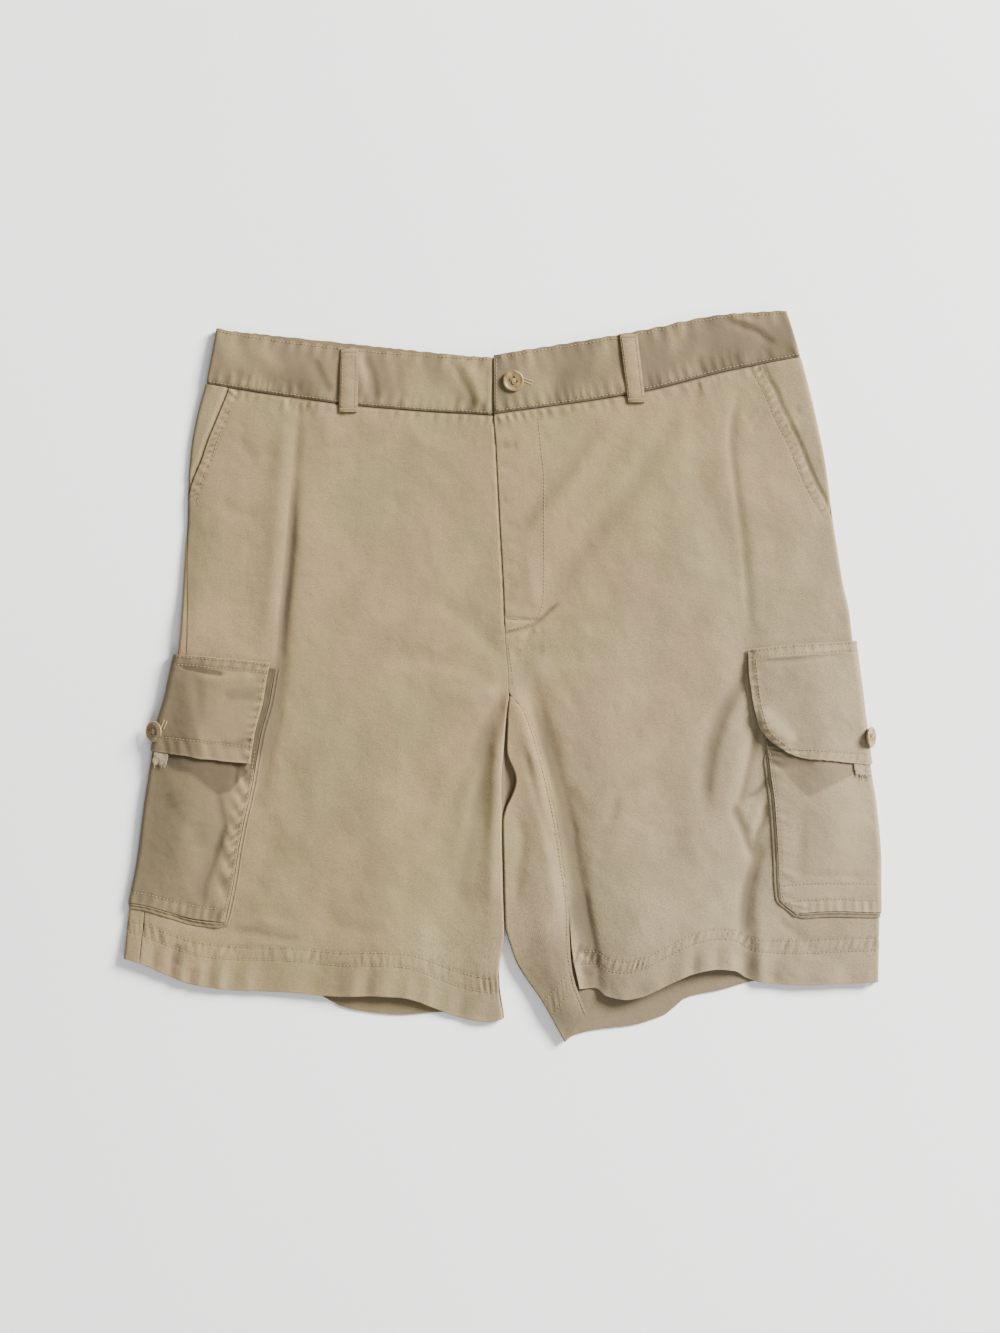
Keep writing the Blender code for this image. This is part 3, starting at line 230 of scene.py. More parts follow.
# A row of each table below is one grain line across the front:
# row name, Y and X at the side fold, Y at the near station, Y half way, X and Y at its inner
# end (centre front above the crotch, inseam below it), arc of the side seam
OUTER_X, NEAR_Y, MID_Y, END_X, END_Y, SEAM_ARC = range(2, 8)
SECTIONS = {
    "right": (
        ("band_top", 274.5, -228.5, 265, 259, -7, 251, 0.5),
        ("waist", 230.5, -237, 221, 213.5, -6.5, 205, 0.5),
        ("hip_1", 209, -243, 199.5, 193, -5, 185, 0.5),
        ("hip_2", 180, -248.5, 171.5, 165, -3.5, 157, 0.5),
        ("hip_3", 149.5, -251, 142.5, 136, -2, 128, 0.6),
        ("slant_end", 122.5, -251.5, 117, 110.5, -0.5, 101.5, 1),
        ("seat_1", 97, -253.5, 93, 85, 1, 74.5, 2.5),
        ("seat_2", 70.5, -255, 67, 59, 2, 50.5, 4.5),
        ("seat_3", 44, -256.5, 41, 33, 2.5, 26.5, 6.5),
        ("flap_top", 15, -259, 9.5, 3, 5, -5.5, 8),
        ("crotch", 7, -261, 1.5, -5, 5, -13.5, 8.2),
        ("flap_2", -17.5, -266, -23, -29, 3, -34.5, 8.8),
        ("flap_3", -41, -273, -46.5, -53, 1, -60, 9.4),
        ("flap_bottom", -62.5, -277.5, -70.5, -77, -0.5, -85.5, 10),
        ("pocket_2", -101.5, -284, -111, -118.5, -1, -127, 11),
        ("pocket_3", -153.5, -291, -165.5, -172, 0, -176, 12.5),
        ("pocket_bottom", -183, -297, -197, -205.5, 1, -207, 13.5),
        ("hem_top", -196, -299, -214.5, -221, -3, -237.5, 14),
        ("hem_bottom", -227, -302.5, -249.5, -257.5, 1, -275, 14.5),
    ),
    "left": (
        ("band_top", 289, 227, 284.5, 273, -7, 253, 0.5),
        ("waist", 252, 238, 240.5, 225, -6.5, 206, 0.5),
        ("hip_1", 228, 244.5, 217.5, 203, -5, 185.5, 0.5),
        ("hip_2", 198.5, 251.5, 189.5, 176, -3.5, 157.5, 0.5),
        ("hip_3", 165.5, 258, 158.5, 147, -2, 129, 0.5),
        ("slant_end", 122.5, 263.5, 117.5, 111, -0.5, 102.5, 0.5),
        ("seat_1", 100, 267, 96, 88, 1, 75, 0.5),
        ("seat_2", 72, 271.5, 69, 61, 2, 51, 0.5),
        ("seat_3", 47, 277, 45, 36, 2.5, 26.5, 0.5),
        ("flap_top", 25.5, 279, 21.5, 10.5, 5, -5.5, 0.5),
        ("crotch", 16, 280, 13, 1.5, 5, -13.5, 0.5),
        ("flap_2", -13.5, 284, -17, -26.5, 19.5, -33, 0.5),
        ("flap_3", -39, 287, -43, -53, 28.5, -60, 0.5),
        ("flap_bottom", -73, 291.5, -68, -79, 35, -85, 0.5),
        ("pocket_2", -111, 297.5, -110.5, -117.5, 43, -121.5, 0.5),
        ("pocket_3", -154.5, 300.5, -154.5, -161, 48, -156, 0.5),
        ("pocket_bottom", -190.5, 300.5, -191, -195, 52.5, -193.5, 0.5),
        ("hem_top", -209.5, 300.5, -212, -204, 55, -223, 0.5),
        ("hem_bottom", -246.5, 300.5, -249, -237, 61, -252, 0.5),
    ),
}

# Centre front and centre back, from the waistband's top down to the crotch: Y, X
CENTRE_LINE = (
    (255, -7), (206, -6.5), (185, -5), (157, -3.5), (128.5, -2),
    (102, -0.5), (75, 1), (51, 2), (26.5, 2.5), (-5.5, 5), (-13.5, 5),
)

# The left leg's inner thigh turns over to the front, from the crotch down: row, X and Y of its
# fold, X and Y of the inseam where the turned-over back ends
LEFT_THIGH = (
    (16, 6.4, -13.5, 5.2, -13.5),
    (-13.5, 4.5, -33, 19.5, -33),
    (-39, 3.4, -60, 28.5, -60),
    (-73, 10.5, -85.5, 35, -85),
    (-111, 1, -119, 43, -121.5),
    (-154.5, 1.7, -156, 48, -156),
    (-190.5, 2.6, -199, 52.5, -193.5),
    (-200, 9, -227, 52.5, -212),
    (-209.5, 31, -261.5, 54, -235),
    (-246.5, 49.5, -294.5, 66, -272),
)

# How much closer the legs' inner folds are shown, and the left one alone: Y, distance
INNER_SHIFTS = (
    (-275, 0), (-226, 0), (-205, 0.83), (-176, 0.83), (-156, 0.83), (-119, 0.92),
    (-106, 0.92), (-100, 0.3), (-85, 0), (-60, 0.2), (-40, 0.2), (-33, 0.55),
    (-20, 0.55), (-13, 0.1),
)
# Width of the cloth in sight behind the slit between the legs: Y, distance
SLIT_LIP = ((-300, 0), (-116, 0), (-108, 2.4), (-104, 4.4), (-96, 8.8), (-85, 10.8),
            (-76, 8.8), (-68, 5), (-60, 2.8), (-40, 1.4), (-30, 0), (-13, 0))

# Bottom edges of the legs, from the side fold inwards: X, Y
HEM_EDGES = {
    ("right", "front"): (
        (-302.5, -227.5), (-290, -231), (-271.5, -239), (-249, -248), (-215, -253),
        (-172.5, -254.5), (-129, -258), (-107.5, -257.5), (-79.5, -259), (-56.5, -266.5),
        (-43.5, -272), (-22, -277.5), (-11.5, -278.5), (1, -276),
    ),
    ("right", "back"): (
        (-302.5, -227.5), (-242, -234.5), (-172.5, -247), (-145, -257.5), (-129, -266.5),
        (-116.5, -269.5), (-82, -273), (-50, -271), (-26, -272), (1, -275),
    ),
    ("left", "front"): (
        (60, -252), (74, -251.5), (83, -257.5), (98, -260), (111, -257.5),
        (132, -248), (153, -239), (171, -236), (185.5, -237.5), (195, -243.5),
        (209, -247), (239, -249), (271.5, -247.5), (293, -247), (300.5, -246.5),
    ),
    ("left", "back"): (
        (49.5, -294.5), (57, -289.5), (74, -285), (106, -281), (119, -277),
        (130, -273), (139, -265.5), (147, -259), (175, -253), (198.5, -246.5),
        (238, -243), (278, -244), (300.5, -246.5),
    ),
}

# Slanted edge of the hip pockets: row, distance in from the side fold
SLANT_EDGES = {
    "right": ((230.5, 19), (218, 18), (203, 15.8), (189, 13), (172, 9.7),
              (156, 4.6), (141, 1), (125, 0)),
    "left": ((252, 32.5), (240, 30.5), (229, 27.8), (213, 25.5), (189, 19.6),
             (172, 16.2), (152, 11), (137, 5), (122, 0)),
}

# Front edge of the cargo pockets and of their flaps: row, distance in from the side fold
POCKET_EDGES = {
    "right": ((15, 79), (-70, 80.5), (-140, 76.5), (-183, 76)),
    "left": ((25.5, 79), (-50, 79), (-155, 80.5), (-176, 79), (-190.5, 66)),
}
FLAP_EDGES = {
    "right": ((15, 74), (-41, 76), (-62.5, 77)),
    "left": ((25.5, 82.5), (-10, 84), (-33, 81.5), (-46, 77), (-58, 71), (-66, 65),
             (-70.5, 59), (-72.4, 53), (-73, 46)),
}

# Folds of the front, as in the frame: X, Y, X, Y ... along it, rise at its start and at its end,
# half width at its start and at its end.  A negative rise is a trough.
FOLDS = (
    ((-262, 20, -280, -100, -296, -195), 2.5, 2.3, 45, 42),
    ((275, 30, 290, -80, 300, -195), 2.5, 2.3, 45, 42),
    ((-232, 252, -120, 236, 0, 229), 1.5, 2.2, 20, 20),
    ((0, 229, 120, 248, 232, 272), 2.2, 1.5, 20, 20),
    ((12, 220, 15, 130, 18, 50), 1.6, 1.2, 24, 20),
    ((-150, 215, -163, 60, -172, 20), 1.6, 2.4, 22, 18),
    ((-162, 218, -179, 34, -188, -33, -198, -101), -0.6, -1.8, 8, 7),
    ((-80, 20, -98, -100, -98, -225), 1.2, 5.2, 30, 27),
    ((-150, -40, -165, -130, -175, -210), 0.8, 1.8, 24, 18),
    ((2, -12, -11.5, -59, -18, -113), -1.2, -1.4, 5, 8),
    ((-4, -45, -6, -130, -9, -235), 1.2, 1.6, 8, 10),
    ((-44, -170, -44, -230, -40, -272), -0.8, -2.6, 16, 13),
    ((-106, 202, -70, 180, -50, 154), 1.2, 0.8, 8, 8),
    ((22, -3, 31, -37, 40, -75, 51, -123, 62, -187, 73, -250), -1.2, -4.2, 5.5, 6.5),
    ((9, -22, 24, -75, 30, -140, 36, -200, 50, -262), 1.4, 3.4, 7, 11),
    ((72, 10, 98, -110, 108, -200, 106, -258), 1.8, 4.6, 24, 20),
    ((150, -170, 152, -205, 153, -240), 2, 5.4, 28, 22),
    ((150, 110, 168, -20, 168, -120), 1.6, 2.2, 34, 26),
    ((158, 218, 163, 154, 186, 58, 196, -6, 204, -70, 206, -142), -0.8, -2.4, 12, 8),
    ((197, -170, 195, -210, 193, -247), -1.6, -4.4, 6, 6),
    ((152, 220, 155, 160), -1.2, -0.6, 5, 6),
    ((75, 196, 45, 150, 34, 122), 1, 0.6, 9, 9),
)

# Creases too small for the frame, by region: X, Y, X, Y ... along it, rise (a trough is negative), half
# width, and for some a skew, which makes the flank on the right of its direction wider and the
# other steeper
CREASES = {
    "right_side": (
        ((-262, 30, -284, -80, -304, -240), -1.5, 15),
        ((-244, 226, -252, 160, -262, 40), -0.9, 12),
    ),
    "left_side": (
        ((268, 100, 292, -60, 302, -250), -0.7, 14),
    ),
    "right_hip": (
        ((-172, 216, -174, 178, -178, 122, -184, 58, -190, 20), 0.6, 4.5),
        ((-162, 217, -164, 178, -168, 122, -174, 58, -178, 30), -0.55, 2.5),
        ((-166, 150, -168, 104, -172, 66, -175, 34, -176, 6, -181, -33, -189, -62,
          -196, -104), -0.9, 3),
        ((-169, 219, -168, 208), -0.45, 1.5),
        ((-164, 218, -160, 205), -0.5, 1.6),
        ((-158, 218, -152, 202), -0.4, 1.6),
        ((-173, 219, -175, 206), 0.4, 1.5),
        ((-103, 208, -86, 190, -58, 172, -40, 150), -0.35, 6, 0.2),
        ((-88, 206, -66, 186, -34, 166), 0.25, 7),
        ((-140, 208, -138, 180), 0.4, 5),
        ((-212, 190, -196, 168), -0.3, 3.5),
        ((-226, 140, -214, 128, -196, 124), -0.35, 4, 0.2),
        ((-130, 120, -96, 70, -70, 40), -0.35, 12, 0.2),
        ((-60, 130, -52, 60, -70, 10), 0.3, 14),
    ),
    "right_band": (
        ((-110, 254, -104, 240, -100, 216), -0.75, 2.6, 0.3),
        ((-118, 256, -112, 240, -108, 218), 0.5, 2.8),
        ((-40, 248, -34, 234, -26, 222, -23, 208), -0.4, 1.7, -0.3),
        ((-32, 250, -24, 234, -16, 212), 0.6, 3),
        ((-52, 250, -50, 230, -48, 212), 0.3, 5),
        ((-80, 252, -84, 238, -80, 214), -0.35, 3),
        ((-150, 250, -142, 232, -136, 222), -0.5, 2.4, 0.2),
        ((-172, 234, -171, 222), -0.4, 1.6),
        ((-164, 232, -160, 220), -0.35, 1.8),
        ((-205, 262, -190, 250, -176, 236), 0.35, 5),
        ((-214, 240, -200, 234), -0.3, 3),
    ),
    "left_band": (
        ((178.5, 281.5, 202, 273, 218, 261.5), -0.75, 1.7, 0.3),
        ((182, 285, 206, 278), 0.35, 2.4),
        ((185, 254, 190, 244), -0.5, 1.7),
        ((156, 251, 156.5, 238), -0.5, 1.8),
        ((150, 270, 138, 252, 126, 240), -0.4, 4.5),
        ((92, 262, 60, 247, 30, 240), 0.25, 6),
        ((24, 246, 44, 236, 70, 238), -0.25, 5),
    ),
    "left_hip": (
        ((189, 229, 183, 201, 182, 182, 187, 141, 192.5, 100, 196, 58, 197, 26),
         -0.65, 2.6, -0.2),
        ((180, 226, 174, 196, 174, 150, 180, 100), 0.2, 5),
        ((147, 229, 129, 191, 105, 152, 84, 124, 64, 98, 41, 66, 27, 41), -0.9, 9, 0.2),
        ((140, 226, 118, 190, 92, 154, 60, 116, 38, 88), 0.5, 8),
        ((128, 222, 112, 190, 80, 140), 0.5, 7),
        ((80, 204, 51, 158, 28, 132, 7, 103), -0.6, 5, 0.2),
        ((98, 210, 70, 170, 40, 130), 0.4, 5),
        ((203, 211, 194, 201), -0.4, 2.4),
        ((210, 211, 199, 190), -0.4, 2.4),
        ((156, 232, 155, 216), -0.2, 1.7),
        ((150, 231, 149, 219), 0.35, 1.6),
        ((162, 233, 160, 221), 0.3, 1.8),
        ((237, 211, 229, 205.5, 224, 206), -0.5, 2.2),
        ((235, 200, 226, 196), 0.3, 2.6),
        ((230, 120, 220, 60, 222, 30), 0.35, 10),
    ),
    "fly": (
        ((-1, 180.5, 12, 181), -0.35, 1.8),
        ((0, 163, 11, 162), -0.2, 1.8),
        ((1.5, 140, 12, 141.5), 0.25, 2),
        ((2, 118, 14, 116), -0.2, 2.2),
        ((3.5, 86.5, 14, 86.5), -0.35, 1.8),
        ((3.5, 69, 12, 69), -0.35, 1.6),
        ((4, 78, 13, 77), 0.25, 2.2),
        ((20, 96, 24, 70, 26, 52), 0.35, 4),
        ((22, 200, 38, 204, 56, 208), -0.35, 2.6),
        ((45, 56, 36.6, 49.4, 30.1, 43.2, 22.5, 37.2, 13, 33.7, 3, 31, -3, 29),
         -0.9, 1.2),
        ((30, 36, 22, 31, 10, 27), 0.25, 2.6),
        ((1, 43.8, 10, 42.8, 22, 41.8, 30, 43), -0.5, 1),
        ((25, 35, 20, 28, 15, 20), -0.35, 1.9),
        ((6, 14, 20, 17, 34, 19), -0.55, 3),
    ),
    "crotch": (
        ((4, -6, -6, 18, -30, 44, -60, 62), -0.65, 6, 0.2),
        ((0, -10, -26, 4, -62, 12, -100, 14), -0.55, 6, 0.2),
        ((-2, -16, -26, -18, -60, -14), 0.4, 5),
        ((8, -4, 24, 18, 50, 36, 84, 48), -0.7, 6, -0.2),
        ((12, -6, 40, 2, 78, 6), 0.4, 8),
        ((-6, -30, -24, -60, -44, -110, -56, -160), -0.5, 6),
    ),
    "right_leg": (
        ((-1, -12, -8, -44, -14, -72, -21, -112), -0.6, 3.6),
        ((-12, -84, -20, -113, -27, -150, -34, -196), -0.8, 6.5),
        ((-6, -20, -18, -48, -30, -92), -0.3, 3.5),
        ((-14, -20, -34, -60, -50, -120, -58, -190), 0.3, 8),
        ((-3, -40, -5, -80, -7, -130, -9, -190), 0.8, 4),
        ((-24, -60, -28, -120, -30, -180), 0.4, 6),
        ((-190, -104, -186, -140, -196, -180), -0.4, 7),
        ((-218, -207, -201, -206, -172, -212, -160, -211), -0.4, 2.4, 0.3),
        ((-214, -200, -190, -198, -166, -203), 0.4, 3.4),
        ((-150, -190, -120, -204, -90, -206), -0.3, 6),
        ((-130, -120, -110, -150, -112, -196), -0.35, 9),
        ((-60, -200, -64, -224, -60, -250), 0.5, 7),
        ((-160, -40, -150, -76, -152, -120), 0.35, 9),
        ((-74, -60, -60, -100, -64, -140), -0.3, 9),
        ((-268, -190, -250, -198, -226, -205), -0.5, 2.4, 0.2),
        ((-262, -234, -258, -216), -0.6, 3),
        ((-246, -238, -244, -218), 0.4, 4),
    ),
    "left_leg": (
        ((59, -218, 66, -222, 75, -228), -0.5, 2),
        ((60, -225, 70, -230), 0.4, 1.8),
        ((62, -236, 74, -241), -0.35, 2.2),
        ((16, 4, 22, -20, 28, -42, 36, -80, 45, -118, 51, -150, 56, -186, 61, -222),
         -1, 7),
        ((11, -111, 17, -131, 13, -160, 11, -190), -0.5, 3.4),
        ((16, -57, 27, -99, 37, -132, 40, -146), -0.45, 2.4),
        ((18, -50, 34, -80, 42, -103, 49, -138, 57, -190), 0.5, 3.6),
        ((52, -90, 60, -104, 66, -114), -0.3, 3),
        ((12, -18, 22, -52, 31, -100, 38, -150, 46, -200), 0.7, 4.5),
        ((64, -172, 70, -205, 76, -240), -0.8, 2.6, 0.2),
        ((199, 18, 187, -12, 174, -36, 166, -62, 162, -92, 162, -116), -1.15, 4.8, 0.2),
        ((194, -40, 184, -80, 176, -110), 0.6, 6),
        ((205, -34, 200, -58, 197, -71, 193, -89, 190.5, -100, 184, -110), -0.65, 2.6),
        ((212, -82, 208, -89, 202.6, -95.6, 194, -100), -0.9, 1.8),
        ((183, -104, 186, -112, 192, -125, 197, -138.6, 203, -147), -0.95, 2.6),
        ((210, -102, 209, -112, 208, -120, 203.5, -127, 202.6, -135, 206, -144),
         -0.8, 2),
        ((205, -100, 201, -116, 197, -128), 0.5, 2.6),
        ((150, -20, 140, -60, 128, -90), 0.4, 7),
        ((110, -84, 92, -96, 84, -122), -0.5, 4, 0.2),
        ((100, -110, 124, -128, 150, -130), -0.3, 4),
        ((210, -134, 203, -152, 197, -170, 194, -190, 193, -212), -1.1, 3.4, 0.2),
        ((202, -172, 204, -206, 206, -240), 0.5, 4),
        ((218, -196, 232, -206, 240, -213), -0.4, 2.6),
        ((130, -110, 120, -160, 126, -200), -0.3, 9),
        ((160, -60, 150, -110, 156, -150), 0.35, 10),
        ((90, -60, 84, -100, 92, -150), 0.3, 8),
        ((250, -246, 252, -226), 0.3, 5),
    ),
}

# Broad places painted with shade, or painted lighter (-): X, Y, X, Y ... along it, how much, half width
PAINTED_SHADES = (
    ((20, 2, 34, -44, 41, -80, 51, -115, 57, -150, 60, -186, 66, -221, 71, -252),
     0.55, 7),
    ((-4, -18, -10, -44, -15, -69, -22, -107, -28, -145, -34, -190), 0.42, 4.2),
    ((190, -8, 178, -30, 171, -52, 166, -76, 164, -104), 0.42, 6),
    ((206, -40, 200, -60, 194, -89, 189, -108), 0.2, 4),
    ((208, -136, 200, -158, 194, -184, 193, -240), 0.35, 5),
    ((148, 226, 129, 191, 105, 152, 84, 124, 58, 86, 34, 52), 0.24, 12),
    ((80, 204, 51, 158, 28, 132, 7, 103), 0.2, 8),
    ((-166, 150, -168, 100, -171, 66, -175, 34, -178, 8, -182, -26, -188, -56, -195, -84), 0.42, 2.8),
    ((-14, 18, 8, 6, 44, 10), -0.6, 22),
    ((-40, 40, -70, 90, -90, 150), -0.2, 26),
    ((-204, -90, -208, -130, -214, -172), 0.3, 5),
)

SHADE_FADE = 0.3       # part of its length over which each end fades

# Creases of single pieces, in the same columns
FLAP_CREASES = {
    "right": (
        ((-250, 2, -247, -30, -241, -58), 0.6, 7, 0.5),
        ((-222, -17, -206, -17, -193, -16), -0.5, 3, 0.2),
        ((-256, 6, -248, 4, -236, 0.8, -222, -1.4), -1.2, 1.3),
        ((-248, -3, -224, -4, -196, -2), 0.45, 3.6),
        ((-199, -52, -214, -58, -226, -58), -0.4, 2.4),
    ),
    "left": (
        ((203, -28, 214, -44, 230, -58), 1.5, 5.5),
        ((199, -40, 206, -52, 219, -63), -0.7, 2.2),
        ((202, 12, 240, 15, 276, 19), 0.55, 1.8),
        ((206, 8, 240, 11, 270, 15), -0.3, 2),
        ((276, -40, 262, -52), -0.3, 5),
    ),
}
POCKET_CREASES = {
    "right": (
        ((-222, -120, -232, -153, -238, -168, -239, -186), -0.5, 3, 0.3),
        ((-211, -70, -212.4, -78, -214, -90), -0.6, 1.5),
        ((-227, -94, -225, -108, -221.4, -121, -226.8, -138.4, -231, -148), -0.55, 2.2),
        ((-214, -124, -224, -156, -230, -184), 0.35, 4),
        ((-258, -120, -248, -150, -258, -180), 0.4, 7),
        ((-240, -118, -246, -140), -0.35, 5),
        ((-268, -96, -262, -110), -0.4, 4),
    ),
    "left": (
        ((238, -105, 236, -150, 240, -168), -0.35, 4),
        ((262, -122, 284, -118, 298, -124), 0.3, 6),
        ((300, -112, 292, -118), -0.3, 4),
        ((284, -178, 300, -174), -0.45, 2.2),
        ((244, -162, 268, -161, 296, -164), -0.3, 2.2),
    ),
}

# Belt loops: X of both edges and Y, at the top and at the foot
BELT_LOOPS = {
    "right": ((-129, -114, 258), (-130.5, -115, 207.5)),
    "left": ((92.5, 107.5, 270), (99.5, 114, 215.5)),
}
LOOP_ARCH = 0.6

BUTTON_RADIUS = 8.4
BUTTON_HEIGHT = 2.6
BUTTON_RIM = 1.5
HOLE_RADIUS = 0.95
HOLE_SPACING = 1.9
# Places: X and Y of the waist button, row and arc of the flap buttons
WAIST_BUTTON = (8.5, 232)
FLAP_BUTTONS = {"right": (-47, 1.75), "left": (-51.5, 1.1)}
TAB_SIZE = (11, 8.5)
TAB_START = 2.7

# Rows of stitches: how far they lie from the edge that they follow
SLANT_SEAM = 7.4
HEM_SEAMS = (0.97, 0.70)        # as parts of the hem's height
BAND_SEAM = 2.0
LOOP_SEAM = 5.2
THIGH_SEAM = 2.0
FLAP_ROWS = (1.6, 7.8)          # below the flap's top
FLAP_HEM = {"right": 12, "left": 8.4}
FLAP_EDGE_SEAM = {"right": 1.8, "left": 6}
POCKET_EDGE_SEAM = 1.8
POCKET_ROWS = {"right": (8.8,), "left": (9.6, 22.6)}

# Shape and shade of flaps and pockets
FLAP_STANDS_OFF = {"right": 1.7, "left": 0}      # at its lower front corner
FLAP_DROOP = 0.7      # of the edge that overhangs the pocket
FLAP_REACH = {"right": 0, "left": 1}      # how far its front edge spreads over the gusset
COVERED_SHADE = {"right": 1, "left": -0.4}      # painted shade on the gusset in front of the flap, painted lighter where negative
# How much darker (-) or lighter (+) these pieces are painted than the panels; on the right this is
# painted shade where the garment turns away from the light
BAND_TONE = {"right": -0.56, "left": -0.86}
FLAP_TONE = {"right": -0.54, "left": 0.1}
POCKET_TONE = {"right": -0.62, "left": 0.4}
SIDE_SHADE = {"right": 0.4, "left": 0}      # painted shade, more at the side fold, where the cloth turns away from the light
# Lower border of the flap's shadow, painted on the pocket's face below the flap
FLAP_SHADOW_EDGE = {
    "right": ((-274, -68), (-261.4, -76.5), (-247.4, -80), (-238, -88), (-226.2, -97),
              (-216.9, -94), (-208.6, -83), (-200.4, -76.5)),
    "left": ((215.6, -71), (230, -87), (242, -99), (254, -94), (274, -84),
             (292.4, -76)),
}
# How dark the flap's painted shadow is
FLAP_SHADOW = {"right": 0.95, "left": 1}

# Lines of stitches as seen from above: X, Y
FLY_STITCH = (
    (28.4, 204), (30.8, 178.4), (33.2, 152), (33.2, 96), (33.2, 72), (32.4, 58),
    (29, 46.6), (22, 39.6), (13.4, 36), (5.5, 34.2),
)
FLY_BAR = ((4.6, 43.6), (12.6, 42.8))
CROTCH_STITCH = ((4.6, 24), (6.2, 12), (7.8, 0), (8.2, -9))
WAIST_HOLE = ((15.6, 233.4), (23.6, 230.4))
FLAP_HOLE = ((-268.2, -37.8), (-270.6, -44))

THREAD_SIDES = 6
# Rings of a stitch's thread: place along its length, size, rise
THREAD_RINGS = ((-0.5, 0.45, -0.30), (-0.38, 0.9, 0.0), (0.0, 1.0, 0.10), (0.38, 0.9, 0.0),
                (0.5, 0.45, -0.30))
# Least and most that a frayed thread leans, curls out and reaches
FRAY_SPREAD = ((-0.9, 0.9), (-0.4, 0.8), (1.8, 3.4))

# Camera and floor, in metres
CAMERA_HEIGHT = 1.7
CAMERA_SPOT = (-0.002, 0.00795)
SEEN_HEIGHT = 1.0664       # from the picture's top edge to its bottom edge, on the floor
SENSOR = 36.0              # in millimetres
FLOOR_REACH = 3.0

KHAKI = (0.219, 0.158, 0.070, 1.0)
KHAKI_WARM = (0.239, 0.164, 0.088, 1.0)
KHAKI_COOL = (0.211, 0.168, 0.079, 1.0)
KHAKI_GREY = (0.235, 0.185, 0.112, 1.0)
# Colours that the cloth turns towards where it is worn and where highlight is painted, and where shade
# is painted
KHAKI_RUBBED_AND_LIT = (0.325, 0.250, 0.144, 1.0)
KHAKI_SHADED = (0.105, 0.078, 0.044, 1.0)
INSIDE = (0.220, 0.168, 0.085, 1.0)
TAPE = (0.245, 0.192, 0.118, 1.0)
TAPE_RUBBED = (0.345, 0.285, 0.190, 1.0)
THREAD = (0.275, 0.210, 0.106, 1.0)
BUTTON_THREAD = (0.34, 0.26, 0.12, 1.0)
HORN_LIGHT = (0.27, 0.18, 0.065, 1.0)
HORN_DARK = (0.13, 0.08, 0.028, 1.0)
FLOOR_TINTS = ((0.95, 0.95, 0.94, 1.0), (0.98, 0.98, 0.97, 1.0))


# ---------------------------------------------------------------- curves, rows and noise

def smooth_step(t):
    t = np.clip(t, 0.0, 1.0)
    return t * t * (3.0 - 2.0 * t)


def bell(distance, width):
    return np.exp(-(distance / width) ** 2)


def cubic(t, span, start, end, slope, end_slope):
    """Cubic from start to end with these slopes, at fraction t of its span."""
    low = (1 + 2 * t) * (1 - t) ** 2 * start + t * (1 - t) ** 2 * span * slope
    return low + t * t * (3 - 2 * t) * end + t * t * (t - 1) * span * end_slope


def smooth_curve(xs, ys, at):
    """Cubic curve through points, without overshoot; xs rise."""
    xs, ys = np.asarray(xs, float), np.asarray(ys, float)
    step = np.diff(xs)
    slope = np.diff(ys) / step
    product = slope[:-1] * slope[1:]
    total = slope[:-1] + slope[1:]
    total = np.where(total == 0.0, 1.0, total)
    inner = np.where(product > 0.0, 2.0 * product / total, 0.0)
    tangent = np.concatenate([slope[:1], inner, slope[-1:]])
    at = np.clip(np.asarray(at, float), xs[0], xs[-1])
    i = np.clip(np.searchsorted(xs, at) - 1, 0, len(step) - 1)
    return cubic((at - xs[i]) / step[i], step[i], ys[i], ys[i + 1], tangent[i], tangent[i + 1])


def table_curve(rows, key, value, at):
    """Column `value` of a table as a smooth curve over its column `key`."""
    points = sorted((row[key], row[value]) for row in rows)
    return smooth_curve([p[0] for p in points], [p[1] for p in points], at)


def section(side, column, row):
    """A column of SECTIONS at a row."""
    return table_curve(SECTIONS[side], 1, column, row)


def named_row(side, name):
    return next(row[1] for row in SECTIONS[side] if row[0] == name)


def below(side, name, row):
    """How far a row lies below a named one."""
    return named_row(side, name) - row


def inward(side):
    return 1.0 if side == "right" else -1.0


def centre_x(y):
    return table_curve(CENTRE_LINE, 0, 1, y)


def inner_shift(y):
    """How much closer to each other the two legs' inner folds lie, than in the frame."""
    return table_curve(INNER_SHIFTS, 0, 1, y)


def front_end(side, row):
    """Inner end of a front row: centre front, or the inseam below the crotch."""
    y = section(side, END_Y, row)
    drop = below(side, "crotch", row)
    gap = 2 * SEAM_GAP if side == "left" else 0.0
    x = np.where(drop <= 0, centre_x(y), section(side, END_X, row) + gap * smooth_step(drop / 8.0))
    if side == "right":
        x = x - CENTRE_GAP * (1.0 - smooth_step(drop / 10.0))
        x = x + inner_shift(y) * smooth_step(drop / 8.0)
    return x, y


def back_end(side, row):
    """Inner end of an underside row: centre back, or the inner fold below the crotch."""
    if side == "right":
        return front_end(side, row)
    above = below(side, "crotch", row) <= 0
    y = section(side, END_Y, row)
    thigh_y = table_curve(LEFT_THIGH, 0, 2, row)
    thigh_x = table_curve(LEFT_THIGH, 0, 1, row) - inner_shift(thigh_y)
    return (np.where(above, centre_x(y) + SEAM_GAP / 2 + FLAT_RUN, thigh_x),
            np.where(above, y, thigh_y))


